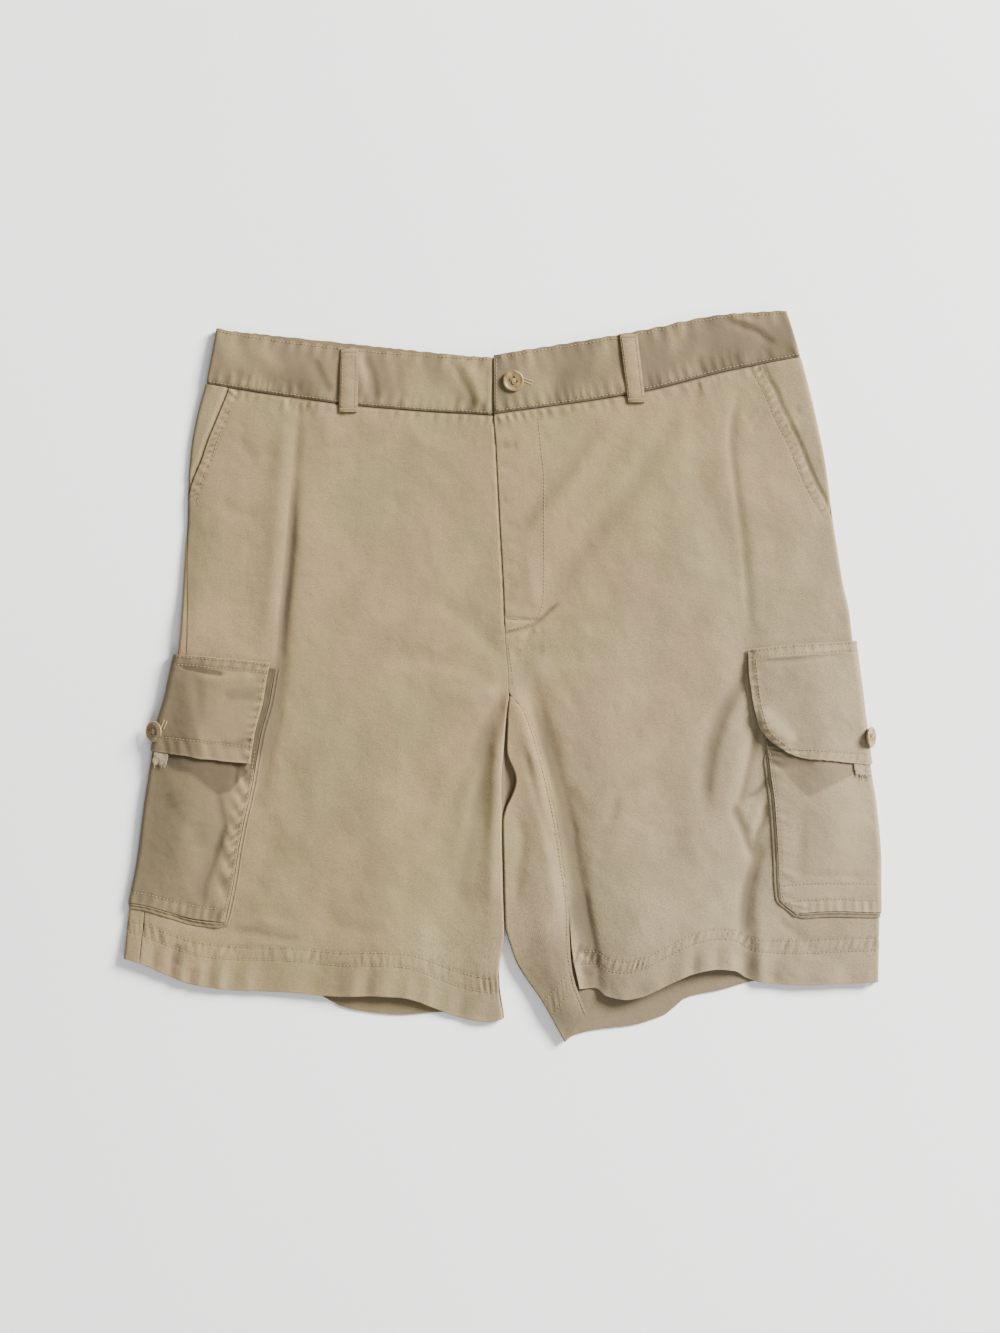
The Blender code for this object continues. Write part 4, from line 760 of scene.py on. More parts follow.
def row_across(f, near, y0, y1, y2, y3):
    """Y along a row at fraction f, through its stations at 0, near, half way and 1."""
    slope0 = (y1 - y0) / near
    slope1 = (y2 - y1) / (MID_STATION - near)
    slope2 = (y3 - y2) / (1.0 - MID_STATION)
    slope01 = 0.5 * (slope0 + slope1)
    slope12 = 0.5 * (slope1 + slope2)
    spans = ((0.0, near, y0, y1, slope0, slope01, 1.0),
             (near, MID_STATION, y1, y2, slope01, slope12, 1.0),
             (MID_STATION, 1.0, y2, y3, slope12, slope2, RUN_ON))
    y = np.zeros_like(f)
    for start, end, ya, yb, ma, mb, last in spans:
        t = np.clip((f - start) / (end - start), 0.0, last)
        y = np.where(f >= start, cubic(t, end - start, ya, yb, ma, mb), y)
    return y


def front_width(side, row):
    return np.abs(front_end(side, row)[0] - section(side, OUTER_X, row))


def back_width(side, row):
    return np.abs(back_end(side, row)[0] - section(side, OUTER_X, row))


def hem_wave(side, row):
    """How much of the hem's wave a row takes on, 1 at the hem."""
    return smooth_step((below(side, "hem_top", row) + HEM_WAVE_RISE) / HEM_WAVE_RISE)


def hem_part(side, row):
    """0 above the bottom of the pocket and 1 at the hem, for what changes only there."""
    return smooth_step(below(side, "pocket_bottom", row) / TUCK_RISE)


def plain_plan(side, face, depth, row):
    """X and Y of a point without the hem's wave."""
    x = section(side, OUTER_X, row) + inward(side) * depth
    if face == "back":
        end_y = back_end(side, row)[1]
        return x, row + (end_y - row) * depth / back_width(side, row)
    width = front_width(side, row)
    stations = (row, section(side, NEAR_Y, row), section(side, MID_Y, row), front_end(side, row)[1])
    return x, row_across(depth / width, NEAR_STATION / width, *stations)


def plan(side, face, depth, row):
    """X and Y of a point `depth` in from the side fold; the hem's wave fades in below."""
    x, y = plain_plan(side, face, depth, row)
    bottom = np.full_like(row, named_row(side, "hem_bottom"))
    hem_x, hem_y = plain_plan(side, face, depth, bottom)
    wave = table_curve(HEM_EDGES[(side, face)], 0, 1, hem_x) - hem_y
    return x, y + wave * hem_wave(side, row)


def lattice_noise(x, y, cell, seed):
    """Smooth random heights between -1 and 1 with bumps about `cell` across."""
    lattice = np.random.default_rng(seed).uniform(-1.0, 1.0, (LATTICE, LATTICE))
    gx, gy = x / cell + LATTICE_START, y / cell + LATTICE_START
    ix, iy = np.floor(gx).astype(int), np.floor(gy).astype(int)
    fx, fy = (f ** 3 * (f * (f * 6 - 15) + 10) for f in (gx - ix, gy - iy))
    a, b, c, d = (lattice[(ix + i) % LATTICE, (iy + j) % LATTICE] for j in (0, 1) for i in (0, 1))
    return (a + (b - a) * fx) * (1 - fy) + (c + (d - c) * fx) * fy


def rumple(x, y):
    """The soft unevenness of washed cloth, in millimetres."""
    return sum(height * lattice_noise(x + lean * y, squeeze * (y - lean * x), cell, seed)
               for height, lean, squeeze, cell, seed in RUMPLES)


# ---------------------------------------------------------------- the surface

def fold_shape(x, y, points, rise, rise_end, width, width_end, fade=0.0, skew=0.0):
    """A soft ridge or trough along a polyline, worked out only near it."""
    points = np.reshape(points, (-1, 2))
    reach = 4.2 * max(width, width_end) * (1 + abs(skew))
    x_low, y_low = np.min(points, axis=0) - reach
    x_high, y_high = np.max(points, axis=0) + reach
    near = (x > x_low) & (x < x_high) & (y > y_low) & (y < y_high)
    out = np.zeros(x.shape)
    if not near.any():
        return out
    px, py = x[near], y[near]
    best = np.full(px.shape, 1e9)
    along = np.zeros(px.shape)
    left = np.zeros(px.shape)
    lengths = [math.dist(a, b) for a, b in zip(points, points[1:])]
    done = 0.0
    for (xa, ya), (xb, yb), length in zip(points, points[1:], lengths):
        dx, dy = xb - xa, yb - ya
        t = np.clip(((px - xa) * dx + (py - ya) * dy) / (dx * dx + dy * dy), 0.0, 1.0)
        distance = np.hypot(px - xa - t * dx, py - ya - t * dy)
        nearer = distance < best
        best = np.where(nearer, distance, best)
        along = np.where(nearer, (done + t * length) / sum(lengths), along)
        left = np.where(nearer, np.sign(dx * (py - ya) - dy * (px - xa)), left)
        done += length
    height = rise + (rise_end - rise) * along
    if fade:
        height = height * smooth_step(along / fade + 0.2) * smooth_step((1.0 - along) / fade + 0.2)
    sigma = (width + (width_end - width) * along) * (1.0 - skew * left)
    out[near] = height * np.exp(-0.5 * (best / sigma) ** 2)
    return out


def crease_heights(x, y, creases, widest=math.inf):
    """Heights of creases; those with a half width above `widest` are weakened in proportion."""
    z = np.zeros(x.shape)
    for points, rise, width, *skew in creases:
        rise = rise * CREASE_GAIN * min(1.0, widest / width)
        z += fold_shape(x, y, points, rise, rise, width, width, CREASE_FADE, *skew)
    return z


def painted_crease_shading(x, y, creases):
    """Painted highlight on crests (+) and painted shade in troughs (-), strongest on narrow creases."""
    return np.clip(CREASE_SHADING * crease_heights(x, y, creases, SHARP_CREASE), -0.85, 0.35)


def painted_panel_shading(points):
    """Painted shade in the troughs of the panels' and the waistband's creases and highlight on their
    crests, and shade painted in broad hollows, painted lighter where its amount is negative.
    """
    x, y = points[..., 0], points[..., 1]
    wear_and_shade = painted_crease_shading(x, y, [crease for creases in CREASES.values() for crease in creases])
    for path, amount, width in PAINTED_SHADES:
        wear_and_shade -= fold_shape(x, y, path, amount, amount, width, width, SHADE_FADE)
    return wear_and_shade


def top_height(x, y, least=LEAST_TOP):
    """Height of the front's outer face above the floor."""
    z = FLAT_TOP + rumple(x, y)
    for fold in FOLDS:
        z = z + fold_shape(x, y, *fold)
    for creases in CREASES.values():
        z = z + crease_heights(x, y, creases)
    over = z - least
    return least + 0.5 * (over + np.sqrt(over * over + 0.6))


def patch(arc, row, width, top, bottom):
    """1 underneath a piece that lies on the back, fading to 0 round it."""
    inside = (width + arc, top - row, row - bottom)
    across, above, under = (smooth_step((d + RAISE_MARGIN + RAISE_RAMP) / RAISE_RAMP) for d in inside)
    return across * above * under


def low_height(side, arc, row):
    """Height of the back's outer face, raised where pocket and flap lie under it."""
    arc = np.minimum(arc, 0.0)
    top = named_row(side, "flap_top")
    pocket = patch(arc, row, BACK_POCKET_WIDTH + GUSSET_WIDTH, top,
                   named_row(side, "pocket_bottom") - GUSSET_WIDTH)
    flap = patch(arc, row, BACK_FLAP_WIDTH, top, named_row(side, "flap_bottom"))
    return POCKET_LIFT * pocket + (FLAP_LIFT - POCKET_LIFT) * flap * pocket


def fold_depth(arc):
    bent = FOLD_DEPTH * (1.0 - np.cos(np.clip(arc, 0.0, QUARTER_ARC) / FOLD_DEPTH))
    return np.where(arc < QUARTER_ARC, bent, arc - ARC_EXCESS)


def fold_arc(depth):
    return depth + ARC_EXCESS


def edge_arc(table, side, row):
    """Arc of an edge that a table gives by its distance in from the side fold."""
    return fold_arc(table_curve(table[side], 0, 1, row))


def rounding(depth, reach=FOLD_DEPTH):
    """0 at a fold and 1 where the cloth lies flat again."""
    t = np.clip(depth / reach, 0.0, 1.0)
    return np.sqrt(np.clip(1.0 - (1.0 - t) ** 2, 0.0, 1.0))


def surface(side, arc, row):
    """Points of the garment's outer surface."""
    arc, row = np.broadcast_arrays(np.asarray(arc, float), np.asarray(row, float))
    front = arc >= 0.0
    depth = fold_depth(np.abs(arc))
    faces = [plan(side, face, depth, row) for face in ("front", "back")]
    x, y = (np.where(front, *pair) for pair in zip(*faces))
    opposite = low_height(side, -np.abs(arc), row)
    top = top_height(x, y, np.maximum(LEAST_TOP, opposite + LAYERS))
    low = low_height(side, arc, row)
    inner_depth = np.where(front, front_width(side, row), back_width(side, row)) - depth
    closed = smooth_step(below(side, "crotch", row) / CROTCH_CLOSE)
    inner = closed * (1.0 - rounding(inner_depth, INNER_FOLD))
    if side == "left":
        inner = np.where(front, 0.0, inner)
    turn = 0.5 * (top - low) * (1.0 - rounding(depth) + inner)
    return np.stack([x, y, np.where(front, top - turn, low + turn)], axis=-1)


def unit(vectors):
    return vectors / np.linalg.norm(vectors, axis=-1, keepdims=True)


def outward(side, arc, row):
    """Unit normals of the surface, out of the garment."""
    along = surface(side, arc + 0.2, row) - surface(side, arc - 0.2, row)
    down = surface(side, arc, row + 0.5) - surface(side, arc, row - 0.5)
    return unit(np.cross(along, down) * inward(side))


def moved_out(side, arc, row, lift):
    """Points of the surface, moved out of the garment by `lift`."""
    return surface(side, arc, row) + outward(side, arc, row) * np.asarray(lift)[..., None]


def thigh_points(steps, row):
    """The left back where it turns over the inner thigh, as fractions of the turned width."""
    row, steps = np.broadcast_arrays(np.asarray(row, float), np.asarray(steps, float))
    fold_x, fold_y = back_end("left", row)
    hem_x, hem_y = back_end("left", np.full_like(row, named_row("left", "hem_bottom")))
    edge_y = table_curve(HEM_EDGES[("left", "back")], 0, 1, hem_x)
    fold_y = fold_y + hem_wave("left", row) * (edge_y - hem_y)
    drop = below("left", "crotch", row)
    seam_x = np.where(drop <= 0, fold_x - FLAT_RUN, table_curve(LEFT_THIGH, 0, 3, row))
    seam_y = np.where(drop <= 0, fold_y, table_curve(LEFT_THIGH, 0, 4, row))
    x = fold_x + (seam_x - fold_x) * steps
    y = fold_y + (seam_y - fold_y) * steps
    width = np.hypot(seam_x - fold_x, seam_y - fold_y)
    top = top_height(x, y)
    close = smooth_step(drop / THIGH_CLOSE)
    lifted = top - 0.5 * top * (1.0 - rounding(steps * width, INNER_FOLD))
    lifted = lifted + ROLL_LIFT * hem_part("left", row) * smooth_step(steps)
    flat_x = fold_x - FLAT_RUN * steps
    x = flat_x + (x - flat_x) * close
    y = fold_y + (y - fold_y) * close
    return np.stack([x, y, lifted * close], axis=-1)


# ---------------------------------------------------------------- seams

def puckers(along, across, name, more_seed=0):
    """Small gathers across a line of stitches: `across` is the distance from it."""
    seed, pitch, depth, reach = GATHERS[name]
    seed += more_seed
    drift = 0.9 * lattice_noise(along, np.zeros_like(along), 4.3 * pitch, seed)
    wave = np.sin(2 * math.pi * (along / pitch + drift))
    uneven = 0.8 + 0.4 * lattice_noise(along, across * 0.3, 2.1 * pitch, seed + 1)
    small = 0.5 * lattice_noise(along, across * 0.3, 0.45 * pitch, seed + 2)
    return 0.6 * depth * (wave * uneven + small) * bell(across, reach)


def groove(across, depth=0.28, width=0.9):
    return -depth * bell(across, width)


def rub_and_shade(name, distance):
    """Worn cloth beside an edge, and painted shade beside a seam, along the band's top and at the
    side fold, as its entry gives.
    """
    strength, width = RUBS_AND_SHADES[name]
    return strength * bell(distance, width)


def side_shade(side, arc):
    # Painted shade where the cloth turns away from the light at the right side fold
    return SIDE_SHADE[side] * rub_and_shade("side_fold_shade", np.maximum(arc, 0.0))


def seam_wear_and_shade(detail, name):
    # Gathers worn pale on their crests, and painted with shade in their troughs and stitch grooves
    return np.clip(detail * SEAM_WEAR_AND_SHADE[name], -1.0, 1.0)


def joined(from_seam):
    """Valley of a seam between two pieces, and how freely the cloth puckers beside it."""
    return groove(from_seam, 0.75, 1.3), smooth_step(from_seam / 3.0)


# ---------------------------------------------------------------- meshes

def into_frame(points):
    return (points - np.array((0.0, CENTRE_Y, 0.0))) * MM


def linked(name, mesh):
    piece = bpy.data.objects.new(name, mesh)
    bpy.data.collections[LOOK].objects.link(piece)
    return piece


def mesh_from(name, vertices, faces, material):
    """A piece with its mesh, from points in millimetres."""
    mesh = bpy.data.meshes.new(name)
    mesh.from_pydata(into_frame(vertices).tolist(), [], faces)
    mesh.shade_smooth()
    mesh.materials.append(material)
    return linked(name, mesh)


def grid_faces(points):
    """Corners of the faces between the points of a grid."""
    index = np.arange(points[..., 0].size).reshape(points.shape[:2])
    corners = [index[:-1, :-1], index[:-1, 1:], index[1:, 1:], index[1:, :-1]]
    return np.stack(corners, axis=-1).reshape(-1, 4)


def grid_normals(points, side):
    along, up = np.gradient(points, axis=1), np.gradient(points, axis=0)
    return unit(np.cross(along, up) * inward(side))


def lift_grid(points, side, lift):
    """A grid of surface points moved out along the grid's own normals."""
    return points + grid_normals(points, side) * lift[..., None]


class Grid:
    """Outer points of a made piece, to lay stitches on them."""

    def __init__(self, arc, row, points, side):
        self.arc = np.broadcast_to(arc, points.shape[:2])
        self.row = np.broadcast_to(row, points.shape[:2])[:, 0]
        self.points = points
        self.normal = grid_normals(points, side)
        self.tree = None

    def sample(self, arcs, rows):
        """Points and normals at arcs and rows of the piece."""
        arcs, rows = np.broadcast_arrays(arcs, rows)
        r = np.clip(np.interp(rows, self.row, np.arange(len(self.row))), 0, len(self.row) - 1.001)
        low = r.astype(int)
        f = (r - low)[:, None]
        columns = np.arange(self.arc.shape[1])
        both = np.concatenate([self.points, self.normal], axis=-1)
        ends = []
        for line in (low, low + 1):
            c = np.array([np.interp(arc, self.arc[k], columns) for arc, k in zip(arcs, line)])
            i = np.minimum(c.astype(int), len(columns) - 2)
            g = (c - i)[:, None]
            ends.append(both[line, i] * (1 - g) + both[line, i + 1] * g)
        found = ends[0] * (1 - f) + ends[1] * f
        return found[:, :3], unit(found[:, 3:])

    def above(self, xs, ys):
        """Points and normals where X and Y lie on the piece as seen from above."""
        if self.tree is None:
            corners = self.points.reshape(-1, 3).tolist()
            self.tree = BVHTree.FromPolygons(corners, grid_faces(self.points).tolist())
        points, normals = [], []
        for x, y in zip(xs, ys):
            hit, normal, *_ = self.tree.ray_cast(Vector((x, y, 90.0)), Vector((0, 0, -1)))
            if hit is not None:
                points.append(hit)
                normals.append(normal if normal.z > 0 else -normal)
        return np.array(points), np.array(normals)


GRIDS = {}


def cloth(name, arc, row, points, side, wear_and_shade, material, thickness=THIN, hem=None):
    """A thin shell under a grid of outer points, rows of columns.  Arcs and rows are also the
    cloth's own coordinates, and the value given for each point says how worn and how lit by painted
    highlight (+), or how dark with painted shade (-), it is."""
    GRIDS[name] = Grid(arc, row, points, side)
    faces = grid_faces(points)
    if side == "left":
        faces = faces[:, ::-1]
    piece = mesh_from(name, points.reshape(-1, 3), faces.tolist(), material)
    mesh = piece.data
    corner = np.empty(len(mesh.loops), dtype=np.int32)
    mesh.loops.foreach_get("vertex_index", corner)
    uv = np.stack([arc, row], axis=-1).reshape(-1, 2)[corner] * MM
    mesh.uv_layers.new(name="cloth").data.foreach_set("uv", uv.astype(np.float32).ravel())
    wear_and_light = mesh.attributes.new("wear_and_shade", "FLOAT", "POINT")
    wear_and_light.data.foreach_set("value", wear_and_shade.astype(np.float32).ravel())
    wall = piece.modifiers.new("Wall", "SOLIDIFY")
    wall.offset = -1.0
    wall.thickness = thickness * MM
    if hem is not None:
        group = piece.vertex_groups.new(name="hem")
        for value in (0.5, 1.0):
            picked = np.flatnonzero((hem.ravel() > value - 0.25) & (hem.ravel() <= value + 0.25))
            group.add(picked.tolist(), value, "REPLACE")
        wall.thickness = THIN_HEM * MM
        wall.vertex_group = "hem"
        wall.thickness_vertex_group = thickness / THIN_HEM
    edge = piece.modifiers.new("Edges", "BEVEL")
    edge.width = EDGE_ROUND * MM
    edge.segments = 2
    edge.limit_method = "ANGLE"
    edge.angle_limit = math.radians(60)
    return piece


def steps_between(start, end, coarse, fine, margin):
    """Distances from start to end: fine steps within `margin` of both ends."""
    length = abs(end - start)
    at = [0.0]
    while at[-1] < length:
        from_end = min(at[-1], length - at[-1])
        blend = min(1.0, max(0.0, (from_end - margin) / margin))
        at.append(at[-1] + fine + (coarse - fine) * blend)
    at = np.array(at) * length / at[-1]
    return start + (end - start) * at / length


def fine_ends(length, name):
    """Fractions of a row `length` long, finer at both ends."""
    return steps_between(0.0, length, *STEPS[name])[None, :] / length


def place(piece, node):
    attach(piece, "root")
    if node:
        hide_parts(node)
    return piece


# ---------------------------------------------------------------- materials

def node(tree, kind, **values):
    made = tree.nodes.new(kind)
    for key, value in values.items():
        if hasattr(made, key):
            setattr(made, key, value)
        else:
            made.inputs[key.replace("_", " ")].default_value = value
    return made


def mixed(tree, factor, a, b, blend="MIX"):
    mix = node(tree, "ShaderNodeMix", data_type="RGBA", blend_type=blend)
    for socket, value in ((mix.inputs[0], factor), (mix.inputs[6], a), (mix.inputs[7], b)):
        if isinstance(value, bpy.types.NodeSocket):
            tree.links.new(value, socket)
        else:
            socket.default_value = value
    return mix.outputs[2]


def noise(tree, coordinates, scale, detail, roughness=0.5):
    made = node(tree, "ShaderNodeTexNoise", Scale=scale, Detail=detail, Roughness=roughness)
    tree.links.new(coordinates, made.inputs["Vector"])
    return made.outputs["Fac"]


def ramp(tree, value, low, high, to_low=0.0, to_high=1.0):
    made = node(tree, "ShaderNodeMapRange", interpolation_type="SMOOTHSTEP", From_Min=low,
                From_Max=high, To_Min=to_low, To_Max=to_high)
    tree.links.new(value, made.inputs["Value"])
    return made.outputs["Result"]


def mottle(tree, coordinates, name):
    scale, detail, roughness, *ends = MOTTLES[name]
    return ramp(tree, noise(tree, coordinates, scale, detail, roughness), *ends)


def bump(tree, height, strength, distance):
    made = node(tree, "ShaderNodeBump", Strength=strength, Distance=distance)
    tree.links.new(height, made.inputs["Height"])
    return made


def new_material(name):
    """A material, its tree, its shader and the coordinates of the piece that wears it."""
    material = bpy.data.materials.new(name)
    material.use_nodes = True
    tree = material.node_tree
    objects = tree.nodes.new("ShaderNodeTexCoord").outputs["Object"]
    return material, tree, tree.nodes["Principled BSDF"], objects


def twill_material(name, colour, warm, cool, wear_and_light, shaded, grey=None):
    """Washed cotton twill: diagonal weave, cloudy tint, pale where worn and where highlight is
    painted, and dark where shade is painted in puckers, creases and seams.
    `grey` is the tint of its greyer side, towards +X and the hems."""
    material, tree, shader, objects = new_material(name)
    weave_in = node(tree, "ShaderNodeUVMap", uv_map="cloth").outputs["UV"]
    base = mixed(tree, 0.8, colour, mixed(tree, mottle(tree, objects, "cloud"), cool, warm))
    if grey:
        slope = node(tree, "ShaderNodeVectorMath", operation="DOT_PRODUCT")
        tree.links.new(objects, slope.inputs[0])
        slope.inputs[1].default_value = GREY_WAY
        base = mixed(tree, ramp(tree, slope.outputs["Value"], *GREY_RAMP), base, grey)
    wave = node(tree, "ShaderNodeTexWave", wave_type="BANDS", bands_direction="DIAGONAL",
                Scale=420.0, Distortion=1.2, Detail=2.0, Detail_Scale=2.0)
    tree.links.new(weave_in, wave.inputs["Vector"])
    ribs = ramp(tree, wave.outputs["Fac"], *RIB_RAMP)
    for factor in (mottle(tree, objects, "blotch"), mottle(tree, weave_in, "grain"), ribs):
        base = mixed(tree, 1.0, base, factor, "MULTIPLY")
    # Pale where worn and where highlight is painted, dark where shade is painted, darker still where
    # the shade is deep
    wear_and_shade = node(tree, "ShaderNodeAttribute", attribute_name="wear_and_shade").outputs["Fac"]
    base = mixed(tree, ramp(tree, wear_and_shade, *RUBBED_AND_LIT_RAMP), base, wear_and_light)
    base = mixed(tree, ramp(tree, wear_and_shade, *SHADED_RAMP), base, shaded)
    base = mixed(tree, 1.0, base, ramp(tree, wear_and_shade, *DEEP_SHADE_RAMP), "MULTIPLY")
    tree.links.new(base, shader.inputs["Base Color"])
    weave = bump(tree, wave.outputs["Fac"], 0.35, 0.00012)
    crumple = bump(tree, noise(tree, objects, 160.0, 5.0, 0.6), 0.45, 0.0011)
    tree.links.new(weave.outputs["Normal"], crumple.inputs["Normal"])
    tree.links.new(crumple.outputs["Normal"], shader.inputs["Normal"])
    tree.links.new(mottle(tree, objects, "sheen"), shader.inputs["Roughness"])
    shader.inputs["Sheen Weight"].default_value = 0.16
    shader.inputs["Sheen Roughness"].default_value = 0.5
    shader.inputs["Specular IOR Level"].default_value = 0.22
    return material


def thread_material(name, colour):
    material, tree, shader, objects = new_material(name)
    flecked = mixed(tree, 1.0, colour, mottle(tree, objects, "fleck"), "MULTIPLY")
    tree.links.new(flecked, shader.inputs["Base Color"])
    twist = bump(tree, noise(tree, objects, 3000.0, 2.0), 0.5, 0.0001)
    tree.links.new(twist.outputs["Normal"], shader.inputs["Normal"])
    shader.inputs["Roughness"].default_value = 0.75
    shader.inputs["Specular IOR Level"].default_value = 0.3
    return material


def horn_material(name, light, dark):
    """Horn-look resin with cloudy streaks under a satin polish."""
    material, tree, shader, objects = new_material(name)
    stretch = node(tree, "ShaderNodeMapping", Scale=(1.0, 0.35, 1.0))
    tree.links.new(objects, stretch.inputs["Vector"])
    streak = mottle(tree, stretch.outputs["Vector"], "streak")
    tree.links.new(mixed(tree, streak, dark, light), shader.inputs["Base Color"])
    shader.inputs["Roughness"].default_value = 0.34
    shader.inputs["Coat Weight"].default_value = 0.25
    shader.inputs["Coat Roughness"].default_value = 0.25
    return material


def floor_material():
    material, tree, shader, objects = new_material("pale_floor")
    cloudy = mixed(tree, mottle(tree, objects, "floor"), *FLOOR_TINTS)
    tree.links.new(cloudy, shader.inputs["Base Color"])
    shader.inputs["Roughness"].default_value = 0.85
    return material


# ---------------------------------------------------------------- panels

def seam_start(side, row):
    seam = section(side, SEAM_ARC, row)
    return seam + SEAM_GAP + 0.8 * np.maximum(0.0, 1.0 - seam / QUARTER_ARC)


def slant_arc(depth):
    """Arc of a point `depth` in from the side fold, also where the fold is round."""
    bent = FOLD_DEPTH * np.arccos(np.clip(1.0 - depth / FOLD_DEPTH, -1.0, 1.0))
    return np.where(depth >= FOLD_DEPTH, fold_arc(depth), bent)


def fly_lap(row):
    return FLY_LAP * smooth_step((row - FLY_BAR_ROW) / 6.0)


def right_front_lift(arc, row):
    """The right front steps down where it runs under the left one."""
    past = fold_depth(arc) - front_width("right", row)
    down = smooth_step((row - STEP_ROW) / STEP_FADE)
    return -(THIN + 0.2) * smooth_step((past + STEP_START) / STEP_WIDTH) * down


def left_front_lift(arc, row):
    """The left front tucks a little below the rolled thigh at its hem."""
    inner_depth = front_width("left", row) - fold_depth(arc)
    return -TUCK_DROP * hem_part("left", row) * smooth_step(1.0 - inner_depth / TUCK_WIDTH)


def panel_rows(side):
    bottom = named_row(side, "hem_bottom")
    above = bottom + FINE_HEM + 1.3
    top = named_row(side, "waist") - SEAM_GAP / 2
    parts = [np.linspace(bottom, bottom + FINE_HEM, HEM_ROWS)]
    if side == "right":
        parts += [steps_between(above, top, *STEPS["panel_right"])]
    else:
        low, high = FLY_FOOT_ROWS
        steps = STEPS["panel_left"]
        parts += [steps_between(above, low, *steps), np.arange(low + 1.0, high, 1.0),
                  steps_between(high, top, *steps)]
    return np.concatenate(parts)[:, None]


def panel_columns(side):
    """Fractions of a front row: finer at its ends, and across the fly on the left."""
    if side == "right":
        return fine_ends(FRONT_LENGTH, "across_right")
    hip = steps_between(0.0, FLY_START, *STEPS["across_left"])
    fly = np.linspace(FLY_START + 1.1, FRONT_LENGTH, 42)
    return np.concatenate([hip, fly])[None, :] / FRONT_LENGTH


def hem_detail(side, arc, row, more_seed):
    """Puckers and stitch grooves of a turned-up hem; also how thick it is, 0 to 1."""
    height = -below(side, "hem_bottom", row)
    tall = named_row(side, "hem_top") - named_row(side, "hem_bottom")
    detail = puckers(arc + 0.3 * height, height - 0.84 * tall, "hem", more_seed)
    detail = detail + puckers(arc, height - 6.0, "hem_slack", more_seed)
    for part in HEM_SEAMS:
        detail = detail + groove(height - part * tall)
    return detail, smooth_step((0.99 * tall - height) / 2.0)


def make_front(side, material):
    row = panel_rows(side)
    slant = table_curve(SLANT_EDGES[side], 0, 1, row)
    start = seam_start(side, row)
    start = np.where(slant > 0.0, np.maximum(start, slant_arc(slant)), start)
    lap = fly_lap(row) if side == "right" else 0.0
    end = fold_arc(front_width(side, row) + lap)
    arc = start + (end - start) * panel_columns(side)
    row = np.broadcast_to(row, arc.shape)
    points = surface(side, arc, row)
    lift = right_front_lift(arc, row) if side == "right" else left_front_lift(arc, row)
    detail, hem = hem_detail(side, arc, row, SIDE_SEED[side])
    from_edge = arc - start
    slanted = smooth_step(slant / 2.0)
    slant_seam = puckers(row + 0.5 * from_edge, from_edge - 4.0, "slant")
    detail = detail + slanted * (slant_seam + groove(from_edge - SLANT_SEAM))
    waist = below(side, "waist", row)
    valley, free = joined(waist)
    detail = detail + valley + free * puckers(arc, waist - 3.0, "waist")
    if side == "left":
        fly = smooth_step((row - FLY_BAR_ROW + 8.0) / 6.0)
        detail = detail + fly * puckers(row, end - arc - 3.0, "fly")
    # Worn gathers and edges; painted shade in puckers, seams, crease troughs and broad hollows, painted
    # highlight on crease crests, and painted shade at the side fold
    wear_and_shade = seam_wear_and_shade(detail, "panel") + painted_panel_shading(points) - side_shade(side, arc)
    wear_and_shade = wear_and_shade + slanted * rub_and_shade("slant_edge", from_edge - 0.9) + rub_and_shade("waist_seam_shade", waist)
    wear_and_shade = wear_and_shade + rub_and_shade("hem_edge", below(side, "hem_bottom", row))
    points = lift_grid(points, side, lift + detail)
    piece = cloth(f"front_{side}_cloth", arc, row, points, side, wear_and_shade, material, hem=hem)
    place(piece, f"front_{side}")


def beside(*pairs):
    """Each pair of grids as one grid."""
    return [np.concatenate(pair, axis=1) for pair in pairs]


def add_lip(points, detail, hem, arc):
    """Adds the edge of the right back that lies on the floor behind the slit."""
    end = points[:, :1]
    reach = table_curve(SLIT_LIP, 0, 1, end[..., 1])
    shown = smooth_step(reach / 1.5)
    steps = np.array((1.0, 0.8, 0.6, 0.4, 0.25, 0.12, 0.04))[None, :]
    x = end[..., 0] + (reach + 0.3) * steps
    rise = np.exp(-steps * np.maximum(reach, 0.4) / 1.6) * shown + (1.0 - shown)
    floor_height = THIN + 0.1
    z = floor_height + (end[..., 2] - floor_height) * rise
    lip = np.stack([x, np.broadcast_to(end[..., 1], x.shape), z], axis=-1)
    zeros = np.zeros(x.shape)
    lip_arc = arc[:, :1] - (reach + 0.3) * steps
    return beside((lip, points), (zeros, detail), (zeros, hem), (lip_arc, arc))


def add_thigh(points, detail, hem, arc, row):
    """Adds the columns of the left back that turn over the inner thigh."""
    steps = np.concatenate([np.linspace(0.008, 0.08, 5)[:-1], np.linspace(0.08, 1.0, 30)])
    fold, seam = (thigh_points(np.full((1, 1), at), row) for at in (0.0, 1.0))
    width = np.hypot(*(seam - fold)[..., :2].transpose(2, 0, 1))
    over = 0.65 + 0.9 * hem_part("left", row)
    steps = steps[::-1] * (1.0 + over / np.maximum(width, 4.0) * smooth_step(width / 8.0))
    thigh = thigh_points(steps, row)
    rows = np.broadcast_to(row, thigh.shape[:2])
    turned = np.hypot(thigh[:, :1, 0] - thigh[:, -1:, 0], thigh[:, :1, 1] - thigh[:, -1:, 1])
    from_seam = turned * (1.0 - steps)
    thigh_detail, thigh_hem = hem_detail("left", from_seam, rows, THIGH_SEED)
    shown = smooth_step((below("left", "crotch", rows) - 8.0) / 10.0)
    seam = puckers(rows, from_seam, "inseam") + groove(from_seam - THIGH_SEAM)
    thigh_detail = (0.3 * thigh_detail + seam) * shown * smooth_step(steps / 0.1)
    lifted = lift_grid(thigh, "left", thigh_detail)
    return beside((lifted, points), (np.zeros(rows.shape), detail),
                  (np.broadcast_to(thigh_hem, rows.shape), hem), (arc[:, :1] - turned * steps, arc))


